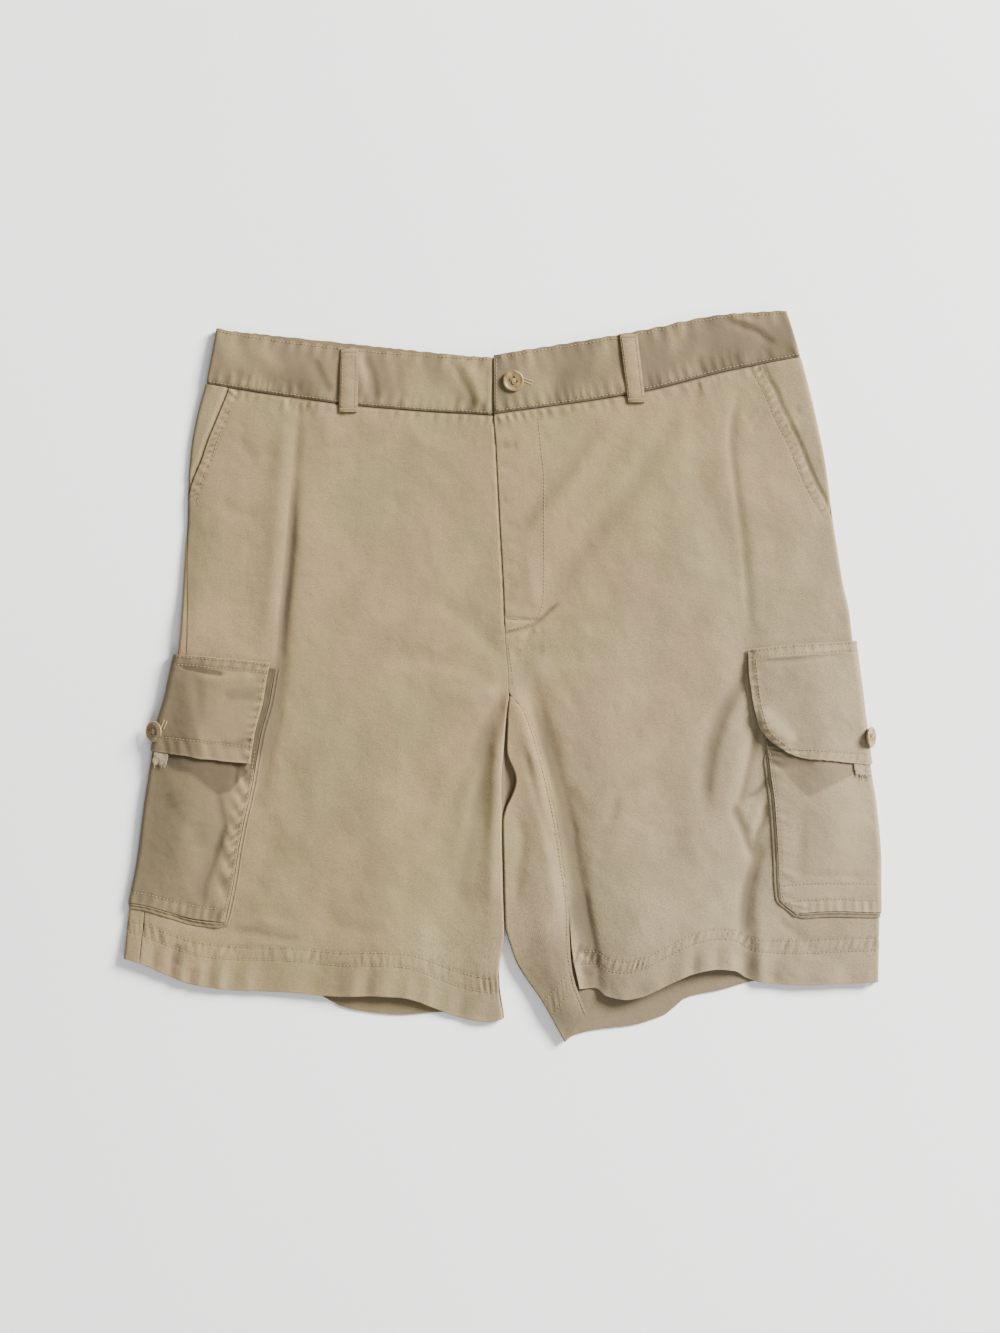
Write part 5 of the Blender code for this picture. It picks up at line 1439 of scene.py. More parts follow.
def make_back(side, material):
    row = panel_rows(side)
    inner = fold_arc(back_width(side, row))
    flat = -inner + (inner - QUARTER_ARC) * steps_between(0.0, 1.0, *UNDER_STEPS)
    fold = np.broadcast_to(QUARTER_ARC * np.linspace(-1.0, 0.0, 7)[1:], (len(row), 6))
    wrap = section(side, SEAM_ARC, row) * np.linspace(0.0, 1.0, WRAP_STEPS[side])[1:]
    arc = np.concatenate([flat, fold, wrap], axis=1)
    rows = np.broadcast_to(row, arc.shape)
    points = surface(side, arc, rows)
    detail, hem = hem_detail(side, arc, rows, BACK_SEED[side])
    detail = np.where(arc > HIDDEN_ARC, detail, 0.0)
    if side == "left":
        points, detail, hem, arc = add_thigh(points, detail, hem, arc, row)
        # Painted shade and highlight of the creases on the turned thigh
        shade = painted_panel_shading(points) * (arc < -inner)
    else:
        points, detail, hem, arc = add_lip(points, detail, hem, arc)
        # Painted shade on the lip behind the slit and on the inner fold beside it
        shade = -0.9 * (arc < 2.0 - inner)
    rows = np.broadcast_to(row, arc.shape)
    # Painted shade on the inside of the back, seen in the leg opening above the hem
    inside = smooth_step((below(side, "hem_bottom", rows) + 60.0) / 20.0) * (arc < HIDDEN_ARC)
    inside = inside * (below(side, "crotch", rows) > 0)
    wear_and_shade = seam_wear_and_shade(detail, "panel") + shade - 0.6 * inside
    points = lift_grid(points, side, np.where(arc > HIDDEN_ARC, detail, 0.0))
    points[..., 2] = np.maximum(points[..., 2], 0.0)
    piece = cloth(f"back_{side}_cloth", arc, rows, points, side, wear_and_shade, material, hem=hem)
    place(piece, f"back_{side}")
    flat, area = ((0.33, 0.486), 0.1324) if side == "right" else ((0.361, 0.514), 0.1481)


def make_hip_facing(side, material):
    end = named_row(side, "slant_end") - 1.0
    top = named_row(side, "waist") - SEAM_GAP / 2
    row = steps_between(end, top, *STEPS["facing"])[:, None]
    slant = table_curve(SLANT_EDGES[side], 0, 1, row)
    start = seam_start(side, row)
    arc = start + (fold_arc(slant + FACING_WIDTH) - start) * np.linspace(0.0, 1.0, 26)
    rows = np.broadcast_to(row, arc.shape)
    past = fold_depth(arc) - slant
    under = smooth_step((past + 5.0) / 4.0)
    detail = puckers(arc, below(side, "waist", rows), "facing") * (1.0 - under)
    points = lift_grid(surface(side, arc, rows), side, detail - (THIN + 0.25) * under)
    # Gathers worn pale and painted with shade, painted shade where the facing runs under the front's
    # slanted edge, and painted shade at the side fold
    wear_and_shade = detail - 0.6 * smooth_step((past + 1.2) / 1.2) - side_shade(side, arc)
    piece = cloth(f"hip_facing_{side}_cloth", arc, rows, points, side, wear_and_shade, material)
    place(piece, f"hip_facing_{side}")


def make_fly_shield(material):
    row = np.linspace(FLY_BAR_ROW + 4.0, named_row("left", "waist") - SHIELD_DROP, 60)[:, None]
    inner = np.linspace(SHIELD_WIDTH, FLY_LAP + 2 * SEAM_GAP, 16)
    arc = fold_arc(front_width("left", row) - inner)
    rows = np.broadcast_to(row, arc.shape)
    points = moved_out("left", arc, rows, -UNDER)
    # Painted shade all over, where it lies under the left front
    wear_and_shade = np.full(arc.shape, -0.3)
    piece = cloth("fly_shield_cloth", arc, rows, points, "left", wear_and_shade, material)
    place(piece, "fly_shield")


def make_waistband(side, material):
    bottom = named_row(side, "waist") + SEAM_GAP / 2
    top = named_row(side, "band_top")
    row = steps_between(bottom, top, *STEPS["band"])[:, None]
    lap = BAND_LAP if side == "right" else 0.0
    back_gap = FLAT_RUN if side == "left" else 0.0
    front_end_arc = fold_arc(front_width(side, row) + lap)
    back_end_arc = fold_arc(back_width(side, row) + back_gap)
    t = fine_ends(BAND_LENGTH, "along_band")
    front_run = QUARTER_ARC + (front_end_arc - QUARTER_ARC) * t
    fold = np.broadcast_to(QUARTER_ARC * np.linspace(-1.0, 1.0, 11)[1:-1], (len(row), 9))
    back_run = -QUARTER_ARC - (back_end_arc - QUARTER_ARC) * np.linspace(1.0, 0.0, 70)
    arc = np.concatenate([back_run, fold, front_run], axis=1)
    rows = np.broadcast_to(row, arc.shape)
    height = rows - bottom
    from_top = rows - top
    step = np.zeros_like(arc)
    if side == "right":
        past = fold_depth(np.abs(arc)) - front_width("right", row)
        step = -(THIN_BAND + 0.3) * smooth_step((past + BAND_STEP_START) / BAND_STEP_WIDTH)
        step = np.where(arc > 0.0, step, 0.0)
    seed = SIDE_SEED[side]
    valley, free = joined(height)
    detail = valley + free * puckers(arc, height - 3.0, "band_foot", seed)
    detail = detail + puckers(arc, from_top, "band_top", seed)
    detail = detail + groove(height - BAND_SEAM, 0.2) + groove(from_top + BAND_SEAM, 0.1)
    limp = lattice_noise(arc + 0.5 * height, height * 0.4, 15.0, BAND_SEED + seed)
    detail = np.where(arc > -10.0, detail + 0.5 * limp, 0.0)
    points = lift_grid(surface(side, arc, rows), side, step + detail + 0.25 * (arc > 0))
    edge = puckers(arc, np.zeros_like(arc), "band_edge", seed)
    points[..., 1] += edge * smooth_step((from_top + 6.0) / 6.0)
    points[..., 2] = np.maximum(points[..., 2], 0.0)
    # Worn gathers; painted shade in pucker troughs, along the top edge and in the waist seam; painted
    # crease shading on the front; and the band's painted tone
    wear_and_shade = seam_wear_and_shade(detail, "band") + rub_and_shade("band_top", from_top) + rub_and_shade("band_seam_shade", height)
    wear_and_shade = wear_and_shade + painted_panel_shading(points) * (arc > 0.0) + BAND_TONE[side]
    name = f"waistband_{side}_cloth"
    piece = cloth(name, arc, rows, points, side, wear_and_shade, material, thickness=THIN_BAND)
    place(piece, f"waistband_{side}")


# ---------------------------------------------------------------- cargo pockets

def side_swell(arc, crest, edge):
    """Rises from the side fold to its crest, then falls a little to the front edge."""
    rise = smooth_step((arc - QUARTER_ARC) / (crest - QUARTER_ARC))
    fall = smooth_step((arc - crest) / (edge - crest))
    return rise * (1.0 - 0.8 * fall)


def pocket_lift(side, arc, row):
    down = np.clip(below(side, "flap_top", row) / 200.0, 0.0, 1.0)
    swell = side_swell(arc, 40.0, 80.0) * np.sin(np.pi * down ** 0.8)
    return POCKET_LIFT + POCKET_SWELL * swell


def flap_lift(side, arc, row):
    down = np.clip(below(side, "flap_top", row) / 80.0, 0.0, 1.0)
    swell = side_swell(arc, 38.0, 76.0) * (0.35 + 0.65 * smooth_step(down * 1.6))
    off = FLAP_STANDS_OFF[side] * smooth_step((arc - 6.0) / 50.0) * smooth_step(down * 1.1) ** 2
    return FLAP_LIFT + FLAP_SWELL * swell + off


def patch_arcs(side, row, edges, back_run):
    """Arcs of a piece that wraps the side fold, from its back edge to its front edge."""
    edge = edge_arc(edges, side, row)
    back = -fold_arc(back_run) + (fold_arc(back_run) - QUARTER_ARC) * np.linspace(0.0, 1.0, 16)
    fold = QUARTER_ARC * np.linspace(-1.0, 1.0, 13)[1:-1]
    front = QUARTER_ARC + (edge - QUARTER_ARC) * fine_ends(PATCH_LENGTH, "across_patch")
    ones = np.ones_like(row)
    return np.concatenate([back * ones, fold * ones, front], axis=1), edge


def make_cargo_pocket(side, material):
    top = named_row(side, "flap_top") - POCKET_TOP_DROP
    bottom = named_row(side, "pocket_bottom")
    row = steps_between(bottom, top, *STEPS["pocket"])[:, None]
    arc, edge = patch_arcs(side, row, POCKET_EDGES, BACK_POCKET_WIDTH)
    rows = np.broadcast_to(row, arc.shape)
    base = surface(side, arc, rows)
    x, y = base[..., 0], base[..., 1]
    front = arc > 0.0
    from_edge = edge - arc
    height = rows - bottom
    if side == "right":
        seam = puckers(rows + 0.8 * from_edge, from_edge - 3.5, "pocket_right")
        seam = seam + puckers(rows - 0.9 * from_edge, from_edge - 8.0, "pocket_slack")
    else:
        seam = puckers(rows + 0.4 * from_edge, from_edge - 5.0, "pocket_left")
    seam = seam + puckers(arc, height - 4.5, "pocket_bottom", SIDE_SEED[side])
    seam = seam + groove(from_edge - POCKET_EDGE_SEAM)
    for seam_height in POCKET_ROWS[side]:
        seam = seam + groove(height - seam_height)
    relief = crease_heights(x, y, POCKET_CREASES[side])
    lift = np.where(front, pocket_lift(side, arc, rows) + relief + seam, POCKET_LIFT)
    points = lift_grid(base, side, np.maximum(lift, 0.45 + THIN))
    # Painted shade in the troughs of the pocket's creases and painted highlight on their crests
    folds = painted_crease_shading(x, y, POCKET_CREASES[side])
    rim = rub_and_shade("pocket_edge", from_edge) + rub_and_shade("pocket_hem", height)
    # The flap's shadow, painted on the pocket's face down to its lower border
    above_shadow_edge = y - np.interp(x, *np.array(FLAP_SHADOW_EDGE[side]).T)
    shade = FLAP_SHADOW[side] * smooth_step(above_shadow_edge / 3.0 + 0.5)
    wear_and_shade = np.where(front, seam_wear_and_shade(seam, "patch") + folds + rim - shade, 0.0)
    # Painted shade on the pocket's face beside the flap's front edge
    shade_beside_flap = smooth_step((arc - edge_arc(FLAP_EDGES, side, rows) + 2.0) / 2.0)
    shade_beside_flap = shade_beside_flap * smooth_step((8.0 - below(side, "flap_bottom", rows)) / 8.0)
    # The pocket's painted tone, and painted shade at the side fold
    wear_and_shade = wear_and_shade + POCKET_TONE[side] - 0.6 * side_shade(side, arc) - 0.7 * shade_beside_flap
    piece = cloth(f"cargo_pocket_{side}_cloth", arc, rows, points, side, wear_and_shade, material)
    place(piece, f"cargo_pocket_{side}")


def make_cargo_gusset(side, material):
    """The bellows strip round the pocket: it folds in, then out again to its seam."""
    top = named_row(side, "flap_top") - POCKET_TOP_DROP
    bottom = named_row(side, "pocket_bottom")
    down = np.linspace(top, bottom, GUSSET_DOWN)
    front_edge = edge_arc(POCKET_EDGES, side, down)
    back_edge = -fold_arc(BACK_POCKET_WIDTH)
    across = np.linspace(front_edge[-1] - 2.0, back_edge + 2.0, GUSSET_ALONG)
    counts = (GUSSET_DOWN, GUSSET_ALONG, GUSSET_DOWN)
    # A point of the path is its arc and row, and how far the strip's width moves each of them
    path_arc = np.concatenate([front_edge, across, np.full(GUSSET_DOWN, back_edge)])
    path_row = np.concatenate([down, np.full(GUSSET_ALONG, bottom), down[::-1]])
    step_arc = np.repeat((1.0, 0.0, -1.0), counts)
    step_row = np.repeat((0.0, -1.0, 0.0), counts)
    soft = np.hanning(13) / np.hanning(13).sum()
    for step in (step_arc, step_row):
        step[6:-6] = np.convolve(step, soft, "valid")
    widths = np.array(GUSSET_STEPS)[:, None] + SEAM_GAP
    profile = np.array(GUSSET_PROFILE)[:, None]
    covered = smooth_step(-below(side, "flap_bottom", path_row) / 12.0)
    widths = widths * (1.0 - TUCKED[side] * covered)
    arc = (path_arc + step_arc * widths)[::-1, ::-1]
    row = (path_row + step_row * widths)[::-1, ::-1]
    lift = np.broadcast_to(POCKET_LIFT + profile, arc.shape)[::-1, ::-1]
    lift = lift + puckers(row + arc, np.zeros_like(arc), "gusset")
    points = lift_grid(surface(side, arc, row), side, np.maximum(lift, THIN_GUSSET + 0.05))
    # Painted shade, deepest in the middle of the bellows fold; where the flap covers it, more painted
    # shade on the right and painted lighter on the left
    wear_and_shade = -0.9 + 0.8 * np.abs(np.linspace(-1, 1, len(profile)))[:, None]
    wear_and_shade = wear_and_shade - COVERED_SHADE[side] * covered[None, ::-1]
    name = f"cargo_gusset_{side}_cloth"
    piece = cloth(name, arc, row, points, side, wear_and_shade, material, thickness=THIN_GUSSET)
    place(piece, f"cargo_gusset_{side}")


def make_cargo_flap(side, material):
    top = named_row(side, "flap_top")
    bottom = named_row(side, "flap_bottom")
    row = steps_between(bottom, top, *STEPS["flap"])[:, None]
    arc, edge = patch_arcs(side, row, FLAP_EDGES, BACK_FLAP_WIDTH)
    reach = FLAP_REACH[side] * smooth_step((row - bottom - 12.0) / 16.0)
    arc = arc * np.where(arc > 0.0, 1.0 + reach / edge, 1.0)
    rows = np.broadcast_to(row, arc.shape)
    base = surface(side, arc, rows)
    x, y = base[..., 0], base[..., 1]
    front = arc > 0.0
    from_edge = edge + reach - arc
    height = rows - bottom
    from_top = top - rows
    hem = FLAP_HEM[side]
    seam = puckers(arc + 0.5 * height, height - 0.5 * hem, f"flap_{side}")
    seam = seam + puckers(rows, from_edge - 2.5, "flap_side", SIDE_SEED[side])
    seam = seam + puckers(arc, from_top - 4.0, "flap_top", SIDE_SEED[side])
    seam = seam + groove(height - hem) + groove(from_top - FLAP_ROWS[0])
    seam = seam + groove(from_top - FLAP_ROWS[1], 0.5, 1.2)
    detail = crease_heights(x, y, FLAP_CREASES[side]) + seam - 0.5 * smooth_step((9.0 - from_top) / 3.0)
    if side == "left":
        detail = detail + 0.3 * bell(from_edge, 16.0) * bell(height, 18.0)
    lift = np.where(front, flap_lift(side, arc, rows) + detail, FLAP_LIFT)
    past_pocket = arc - edge_arc(POCKET_EDGES, side, rows)
    lift = lift - FLAP_DROOP * smooth_step(past_pocket / 3.4) * smooth_step(height / 10.0)
    on_pocket = pocket_lift(side, arc, rows) + 0.3 + THIN
    lift = np.maximum(lift, np.where(front & (past_pocket < 0.2), on_pocket, 0.0))
    # Painted shade in the troughs of the flap's creases and painted highlight on their crests
    folds = painted_crease_shading(x, y, FLAP_CREASES[side])
    rim = rub_and_shade("flap_edge", from_edge) + rub_and_shade("flap_hem", height) + rub_and_shade("flap_top", from_top)
    # Worn edges and gather crests, painted shade in the gathers' troughs, and the flap's painted tone
    wear_and_shade = np.where(front, seam_wear_and_shade(seam, "patch") + folds + rim, 0.0) + FLAP_TONE[side]
    # Painted shade at the side fold
    wear_and_shade = wear_and_shade - 0.5 * side_shade(side, arc)
    if side == "right":
        # Painted shade on the part of the right flap nearest the side, which turns away from the light
        wear_and_shade = wear_and_shade - 0.35 * smooth_step((30.0 + 0.16 * from_top - arc) / 8.0) * front
    points = moved_out(side, arc, rows, lift)
    piece = cloth(f"cargo_flap_{side}_cloth", arc, rows, points, side, wear_and_shade, material)
    return place(piece, f"cargo_flap_{side}")


def make_belt_loop(side, material):
    (top_a, top_b, top_y), (low_a, low_b, low_y) = BELT_LOOPS[side]
    down = np.linspace(1.0, 0.0, 46)[:, None]
    across = np.linspace(0.0, 1.0, 15)[None, :]
    left = top_a + (low_a - top_a) * down
    right = top_b + (low_b - top_b) * down
    x = left + (right - left) * across
    y = np.broadcast_to(top_y + (low_y - top_y) * down, x.shape)
    length = (1.0 - down) * (top_y - low_y) * np.ones_like(across)
    sewn = np.broadcast_to((across - 0.5) * 15.0, length.shape)
    detail = puckers(length, np.zeros_like(length), "loop") - 0.35 * bell(length - 2.2, 1.2)
    detail = detail + groove(sewn - LOOP_SEAM, 0.22) + groove(sewn + LOOP_SEAM, 0.22)
    past = np.maximum(np.abs(sewn) - LOOP_SEAM, 0.0)
    detail = detail + 0.3 * np.cos(sewn / LOOP_SEAM * math.pi / 2) - 0.14 * past ** 2
    stand = LAY_GAP + THIN_LOOP + 0.6 + LOOP_ARCH * np.sin(np.pi * down)
    points = np.stack([x, y, top_height(x, y) + stand + detail], axis=-1)
    # Worn and painted lighter on its crown, painted shade in its dents and grooves and along its
    # stitched edges
    wear_and_shade = np.clip(detail, -1, 1) + rub_and_shade("loop_seam_shade", np.abs(sewn) - LOOP_SEAM)
    name = f"belt_loop_{side}_cloth"
    piece = cloth(name, sewn, length, points, "right", wear_and_shade, material, thickness=THIN_LOOP)
    place(piece, f"belt_loop_front_{side}")


# ---------------------------------------------------------------- stitches

def run_along(points):
    """Distance along a path at each of its points."""
    return np.concatenate([[0.0], np.cumsum(np.linalg.norm(np.diff(points, axis=0), axis=1))])


def at_run(at, run, values):
    """Values of a path at distances `at` along it."""
    return np.stack([np.interp(at, run, values[:, k]) for k in range(3)], axis=-1)


def tube_faces(first, rings, sides):
    """Faces of a closed tube whose rings of vertices are numbered from `first`."""
    faces = []
    for ring in range(rings - 1):
        for k in range(sides):
            a = first + ring * sides + k
            b = first + ring * sides + (k + 1) % sides
            faces.append((a, b, b + sides, a + sides))
    last = first + (rings - 1) * sides
    faces.append(tuple(first + k for k in reversed(range(sides))))
    faces.append(tuple(last + k for k in range(sides)))
    return faces


def stitches(name, paths, material, pitch=3.0, length=2.3, radius=0.27):
    """Short threads along paths of (points, normals); each dips into the cloth at its ends."""
    angle = np.arange(THREAD_SIDES) * 2 * math.pi / THREAD_SIDES
    vertices = []
    faces = []
    for points, normals in paths:
        run = run_along(points)
        for middle in np.arange(0.5 * pitch, run[-1] - 0.4 * pitch, pitch):
            start, centre, end = at_run(middle + length * np.array((-0.5, 0.0, 0.5)), run, points)
            up = unit(at_run(middle, run, normals))
            along = unit(end - start)
            across = np.cross(along, up)
            faces += tube_faces(len(vertices), len(THREAD_RINGS), THREAD_SIDES)
            for place_along, size, rise in THREAD_RINGS:
                ring = centre + along * place_along * length + up * (rise + 0.12)
                vertices += [ring + (across * math.cos(a) + up * math.sin(a)) * radius * size
                             for a in angle]
    return place(mesh_from(name, np.array(vertices), faces, material), None)


def by_arcs(piece, arcs, rows):
    """A stitch path on a made piece, along its own arcs and rows."""
    return GRIDS[piece].sample(*np.broadcast_arrays(arcs, rows))


def by_row(piece, row, start, end):
    """A stitch path along a row of a piece, from `start` inside it to `end` inside it."""
    grid = GRIDS[piece]
    line = int(np.clip(np.searchsorted(grid.row, row), 0, len(grid.row) - 1))
    low = grid.arc[line][0] + start
    high = grid.arc[line][-1] - end
    return by_arcs(piece, np.linspace(low, high, max(4, int((high - low) / 2.0))), row)


def by_edge(piece, rows, column, aside):
    """A stitch path beside the first (0) or last (-1) column of a piece."""
    grid = GRIDS[piece]
    return by_arcs(piece, np.interp(rows, grid.row, grid.arc[:, column]) + aside, rows)


def by_plan(piece, corners, step=1.0):
    """A stitch path on a made piece, seen from above: a smooth line through X, Y corners."""
    corners = np.asarray(corners, float)
    run = run_along(corners)
    at = np.linspace(0.0, run[-1], max(3, int(run[-1] / step)))
    return GRIDS[piece].above(*(smooth_curve(run, corners[:, k], at) for k in range(2)))


def satin(path, width, spacing=0.55):
    """Threads side by side across a path, as in a buttonhole or a bar."""
    points, normals = path
    run = run_along(points)
    threads = []
    for s in np.arange(0.0, run[-1], spacing):
        behind, middle, ahead = at_run(s + np.array((-0.5, 0.0, 0.5)), run, points)
        up = unit(at_run(s, run, normals))
        across = unit(np.cross(ahead - behind, up)) * width / 2
        threads.append((np.array([middle - across, middle, middle + across]), np.array([up] * 3)))
    return threads


def hem_paths(side):
    """Both rows of the turned-up hem, on the front, underneath and on the turned thigh."""
    bottom = named_row(side, "hem_bottom")
    tall = named_row(side, "hem_top") - bottom
    return [by_row(f"{panel}_{side}_cloth", bottom + part * tall, 1.5, 1.5)
            for part in HEM_SEAMS for panel in ("front", "back")]


def slant_paths(side):
    rows = np.linspace(named_row(side, "slant_end") + 14.0, named_row(side, "waist") - 1.0, 70)
    return [by_edge(f"front_{side}_cloth", rows, 0, SLANT_SEAM)]


def band_paths(side):
    piece = f"waistband_{side}_cloth"
    grid = GRIDS[piece]
    low, high = grid.row[0] + BAND_SEAM, grid.row[-1] - BAND_SEAM
    end = 2.0 if side == "left" else BAND_LAP - 4.0
    paths = [by_row(piece, row, 2.0, end) for row in (low, high)]
    if side == "left":
        paths.append(by_edge(piece, np.linspace(low, high, 24), -1, -BAND_SEAM))
    return paths


def flap_paths(side):
    piece = f"cargo_flap_{side}_cloth"
    top = named_row(side, "flap_top")
    bottom = named_row(side, "flap_bottom")
    paths = [by_row(piece, top - drop, 2.0, 1.5) for drop in FLAP_ROWS]
    hem_row = bottom + FLAP_HEM[side]
    inset = FLAP_EDGE_SEAM[side]
    paths.append(by_row(piece, hem_row, 3.0, inset))
    rows = np.linspace(hem_row if side == "left" else bottom + 1.0, top - FLAP_ROWS[1], 50)
    paths.append(by_edge(piece, rows, -1, -inset))
    return paths


def pocket_paths(side):
    piece = f"cargo_pocket_{side}_cloth"
    bottom = named_row(side, "pocket_bottom")
    paths = [by_row(piece, bottom + height, 3.0, 3.0) for height in POCKET_ROWS[side]]
    rows = np.linspace(bottom + 2.0, named_row(side, "flap_bottom") + 10.0, 90)
    paths.append(by_edge(piece, rows, -1, -POCKET_EDGE_SEAM))
    return paths


def loop_paths(side):
    piece = f"belt_loop_{side}_cloth"
    length = GRIDS[piece].row
    along = np.linspace(length[0] + 1.0, length[-1] - 1.0, 40)
    edges = [by_arcs(piece, across, along) for across in (-LOOP_SEAM, LOOP_SEAM)]
    across = np.linspace(-6.4, 6.4, 9)
    bars = [by_arcs(piece, across, at) for at in (length[0] + 2.2, length[-1] - 2.4)]
    return edges, bars


def fly_paths():
    """The fly's stitching, the inseam on the turned thigh, and the lap below the fly."""
    rows = np.linspace(named_row("left", "hem_bottom") + 2.0, named_row("left", "crotch") - 26.0, 90)
    return [by_plan("front_left_cloth", FLY_STITCH),
            by_edge("back_left_cloth", rows, 0, THIGH_SEAM),
            by_plan("front_left_cloth", CROTCH_STITCH)]


def make_stitches(thread):
    for side in SIDES:
        for seam, paths in (("hem", hem_paths), ("slant", slant_paths), ("band", band_paths),
                            ("flap", flap_paths), ("pocket", pocket_paths)):
            stitches(f"stitches_{seam}_{side}", paths(side), thread)
        edges, bars = loop_paths(side)
        stitches(f"stitches_loop_{side}", edges, thread)
        threads = [t for bar in bars for t in satin(bar, 2.0)]
        stitches(f"bartacks_loop_{side}", threads, thread, pitch=2.0, length=2.0, radius=0.24)
    stitches("stitches_fly", fly_paths(), thread)
    bar = satin(by_plan("front_left_cloth", FLY_BAR), 2.2)
    stitches("bartack_fly", bar, thread, pitch=2.2, length=2.2, radius=0.24)
    make_buttonhole("buttonhole_waist", "waistband_left_cloth", WAIST_HOLE, thread)
    make_buttonhole("buttonhole_flap", "cargo_flap_right_cloth", FLAP_HOLE, thread)


def make_buttonhole(name, piece, ends, thread):
    """Two rows of satin stitch with a slot between them."""
    (xa, ya), (xb, yb) = ends
    aside = np.array((ya - yb, xb - xa)) / math.dist(*ends) * 1.15
    threads = []
    for sign in (-1.0, 1.0):
        threads += satin(by_plan(piece, np.array(ends) + sign * aside), 1.7, 0.5)
    stitches(name, threads, thread, pitch=1.7, length=1.7, radius=0.26)


# ---------------------------------------------------------------- small pieces

def make_tab(side, material):
    """The pale frayed end of the loop below a flap, under its button."""
    width, length = TAB_SIZE
    arc = TAB_START + np.linspace(0.0, width, 26)[None, :]
    down = np.linspace(1.0, 0.0, 18)[:, None]
    ragged = 1.0 + 0.16 * lattice_noise(arc, arc * 0.0, 1.1, TAB_SEED)
    row = named_row(side, "flap_bottom") - SEAM_GAP - length * down * ragged
    arc = arc + 0.25 * lattice_noise(row, arc * 0.1, 1.4, TAB_SEED + 1)
    lift = pocket_lift(side, arc, row) + LAY_GAP + 1.0
    lift = lift + 0.25 * lattice_noise(arc, row, 3.0, TAB_SEED + 2)
    lift = lift + 0.12 * lattice_noise(arc, row, 1.2, TAB_SEED + 3)
    points = moved_out(side, arc, row, np.maximum(lift, POCKET_LIFT + 1.2))
    wear_and_shade = 0.5 * lattice_noise(arc, row, 1.6, TAB_SEED + 4)
    name = f"flap_tab_{side}_cloth"
    piece = cloth(name, arc, row, points, side, wear_and_shade, material, thickness=THIN_TAB)
    return place(piece, f"flap_tab_{side}")


def make_fray(side, material):
    """Loose threads along the tab's raw end."""
    grid = GRIDS[f"flap_tab_{side}_cloth"]
    spread = np.random.default_rng(FRAY_SEED)
    steps = np.linspace(0.0, 1.0, 6)[:, None]
    paths = []
    for arc in np.linspace(grid.arc[0].min() + 0.6, grid.arc[0].max() - 0.6, 13):
        lean, curl, reach = (spread.uniform(*ends) for ends in FRAY_SPREAD)
        point, normal = grid.sample(np.array([arc]), np.array([grid.row[1]]))
        way = np.array((lean, -reach, 0.0)) * steps + normal[0] * (curl * steps ** 2 - 0.35)
        paths.append((point[0] + way, np.repeat(normal, 6, axis=0)))
    return stitches(f"fray_{side}", paths, material, pitch=1.1, length=1.5, radius=0.16)


def button_shape(name):
    """A turned button with a raised rim, a shallow dish and four holes, base at z = 0."""
    radius = BUTTON_RADIUS
    high = BUTTON_HEIGHT
    profile = (
        (0.0, high - 1.0), (radius * 0.3, high - 0.98), (radius * 0.55, high - 0.86),
        (radius * 0.7, high - 0.55), (radius - BUTTON_RIM, high - 0.12), (radius - 1.15, high),
        (radius - 0.7, high - 0.02), (radius - 0.25, high - 0.3), (radius, high - 0.8),
        (radius - 0.1, high - 1.4), (radius - 0.8, 0.3), (radius * 0.6, 0.0), (0.0, 0.0),
    )
    mesh = bpy.data.meshes.new(name)
    edges = [(k, k + 1) for k in range(len(profile) - 1)]
    mesh.from_pydata([(x * MM, 0.0, z * MM) for x, z in profile], edges, [])
    body = linked(name, mesh)
    turn = body.modifiers.new("Turn", "SCREW")
    turn.axis = "Z"
    turn.steps = 64
    turn.render_steps = 64
    turn.use_merge_vertices = True
    turn.merge_threshold = 0.00003
    turn.use_normal_calculate = True
    drills = bpy.data.meshes.new(f"{name}_holes")
    ring = [(HOLE_RADIUS * math.cos(a), HOLE_RADIUS * math.sin(a))
            for a in np.arange(20) * math.pi / 10]
    vertices = []
    faces = []
    for sx in (-HOLE_SPACING, HOLE_SPACING):
        for sy in (-HOLE_SPACING, HOLE_SPACING):
            faces += tube_faces(len(vertices), 2, len(ring))
            vertices += [((sx + x) * MM, (sy + y) * MM, z * MM) for z in (-4.0, 8.0) for x, y in ring]
    drills.from_pydata(vertices, [], faces)
    cutter = linked(f"{name}_holes", drills)
    cut = body.modifiers.new("Holes", "BOOLEAN")
    cut.operation = "DIFFERENCE"
    cut.solver = "EXACT"
    cut.object = cutter
    bpy.context.view_layer.update()
    shown = body.evaluated_get(bpy.context.evaluated_depsgraph_get())
    finished = bpy.data.meshes.new_from_object(shown)
    body.modifiers.clear()
    body.data = finished
    bpy.data.objects.remove(cutter)
    return body


def make_button(name, spot, axis, horn, thread):
    """A four-hole button on `spot`, its face along `axis`, sewn on with a cross of thread."""
    body = button_shape(f"{name}_horn")
    turn = Vector(axis).normalized().to_track_quat("Z", "Y").to_matrix().to_4x4()
    body.matrix_world = Matrix.Translation(Vector(into_frame(np.array(spot)))) @ turn
    body.data.materials.clear()
    body.data.materials.append(horn)
    body.data.shade_smooth()
    body.data.set_sharp_from_angle(angle=math.radians(38))
    place(body, name)
    basis = np.array(turn.to_3x3())
    steps = np.linspace(-1.0, 1.0, 7)
    rise = BUTTON_HEIGHT - 0.55 - 1.1 * steps ** 6
    crosses = []
    for shift in (-0.32, 0.32):
        for sign in (-1.0, 1.0):
            aside = np.array((sign * shift, -shift, 0.12 * sign))
            way = np.stack([steps * HOLE_SPACING, sign * steps * HOLE_SPACING, rise], axis=-1)
            normal = np.repeat(basis[:, 2][None, :], len(way), axis=0)
            crosses.append(((way + aside) @ basis.T + np.array(spot), normal))
    stitches(f"{name}_thread", crosses, thread, pitch=5.4, length=5.3, radius=0.34)


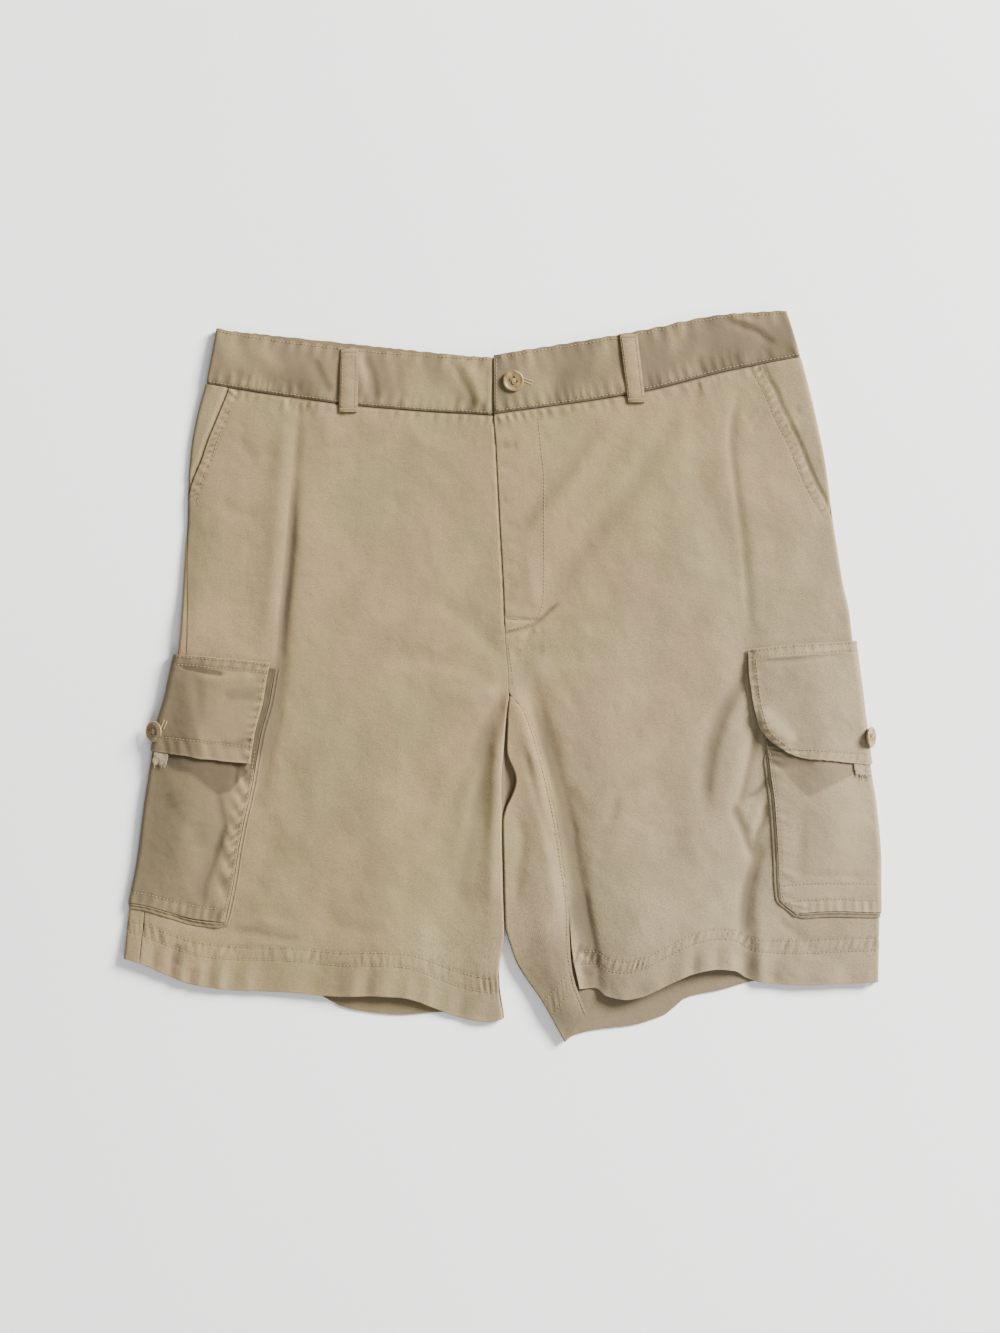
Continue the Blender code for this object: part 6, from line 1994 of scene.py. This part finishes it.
def make_waist_button(horn, thread):
    x, y = WAIST_BUTTON
    ring = np.linspace(0.0, 2 * math.pi, 24, endpoint=False)
    around = top_height(x + BUTTON_RADIUS * np.cos(ring), y + BUTTON_RADIUS * np.sin(ring))
    base = float(around.max()) + LAY_GAP
    make_button("waist_button", (x, y, base), (0.04, -0.06, 1.0), horn, thread)


def make_flap_button(side, horn, thread):
    row, arc = (np.array([value]) for value in FLAP_BUTTONS[side])
    normal = outward(side, arc, row)[0] * np.array((1.0, 0.0, 1.0))
    seat = moved_out(side, arc, row, FLAP_LIFT + 2 * LAY_GAP)[0]
    make_button(f"flap_button_{side}", tuple(seat), tuple(normal), horn, thread)


# ---------------------------------------------------------------- camera, light and floor

def in_scene(name, data):
    thing = bpy.data.objects.new(name, data)
    bpy.context.scene.collection.objects.link(thing)
    return thing


def make_camera():
    data = bpy.data.cameras.new("camera")
    data.sensor_width = SENSOR
    data.lens = SENSOR * CAMERA_HEIGHT / SEEN_HEIGHT
    camera = in_scene("camera", data)
    camera.location = (*CAMERA_SPOT, CAMERA_HEIGHT)
    bpy.context.scene.camera = camera


def make_floor():
    mesh = bpy.data.meshes.new("floor")
    corners = [(x * FLOOR_REACH, y * FLOOR_REACH, 0.0) for x, y in ((-1, -1), (1, -1), (1, 1), (-1, 1))]
    mesh.from_pydata(corners, [], [(0, 1, 2, 3)])
    mesh.materials.append(floor_material())
    in_scene("floor", mesh)


def soft_light(name, spot, size, power, colour):
    data = bpy.data.lights.new(name, "AREA")
    data.shape = "DISK"
    data.size = size
    data.energy = power
    data.color = colour
    light = in_scene(name, data)
    light.location = spot
    light.rotation_euler = (-Vector(spot)).to_track_quat("-Z", "Y").to_euler()


def make_light():
    soft_light("key", (4.10, 2.75, 2.70), 2.2, 1370.0, (1.0, 0.985, 0.965))
    soft_light("fill", (0.9, -2.2, 2.5), 1.8, 42.0, (0.97, 0.99, 1.0))
    world = bpy.data.worlds.new("studio")
    world.use_nodes = True
    back = world.node_tree.nodes["Background"]
    back.inputs["Color"].default_value = (0.97, 0.98, 1.0, 1.0)
    back.inputs["Strength"].default_value = 0.50
    bpy.context.scene.world = world


# ---------------------------------------------------------------- the scene

def main():
    collection = bpy.data.collections.new(LOOK)
    bpy.context.scene.collection.children.link(collection)
    make_camera()
    make_floor()
    make_light()
    twill = twill_material("twill", KHAKI, KHAKI_WARM, KHAKI_COOL, KHAKI_RUBBED_AND_LIT, KHAKI_SHADED,
                           KHAKI_GREY)
    inside = twill_material("twill_inside", INSIDE, INSIDE, INSIDE, KHAKI, KHAKI_SHADED, KHAKI_GREY)
    tape = twill_material("loop_tape", TAPE, TAPE, TAPE, TAPE_RUBBED, KHAKI)
    horn = horn_material("horn", HORN_LIGHT, HORN_DARK)
    thread = thread_material("thread", THREAD)
    pale_thread = thread_material("pale_thread", TAPE_RUBBED)
    button_thread = thread_material("button_thread", BUTTON_THREAD)
    for side in SIDES:
        for make in (make_back, make_front):
            make(side, twill)
        make_hip_facing(side, inside)
        for make in (make_waistband, make_cargo_gusset, make_cargo_pocket):
            make(side, twill)
        flap = make_cargo_flap(side, twill)
        tab = make_tab(side, tape)
        fray = make_fray(side, pale_thread)
        make_belt_loop(side, twill)
        make_flap_button(side, horn, button_thread)
    make_fly_shield(inside)
    make_waist_button(horn, button_thread)
    make_stitches(thread)


main()
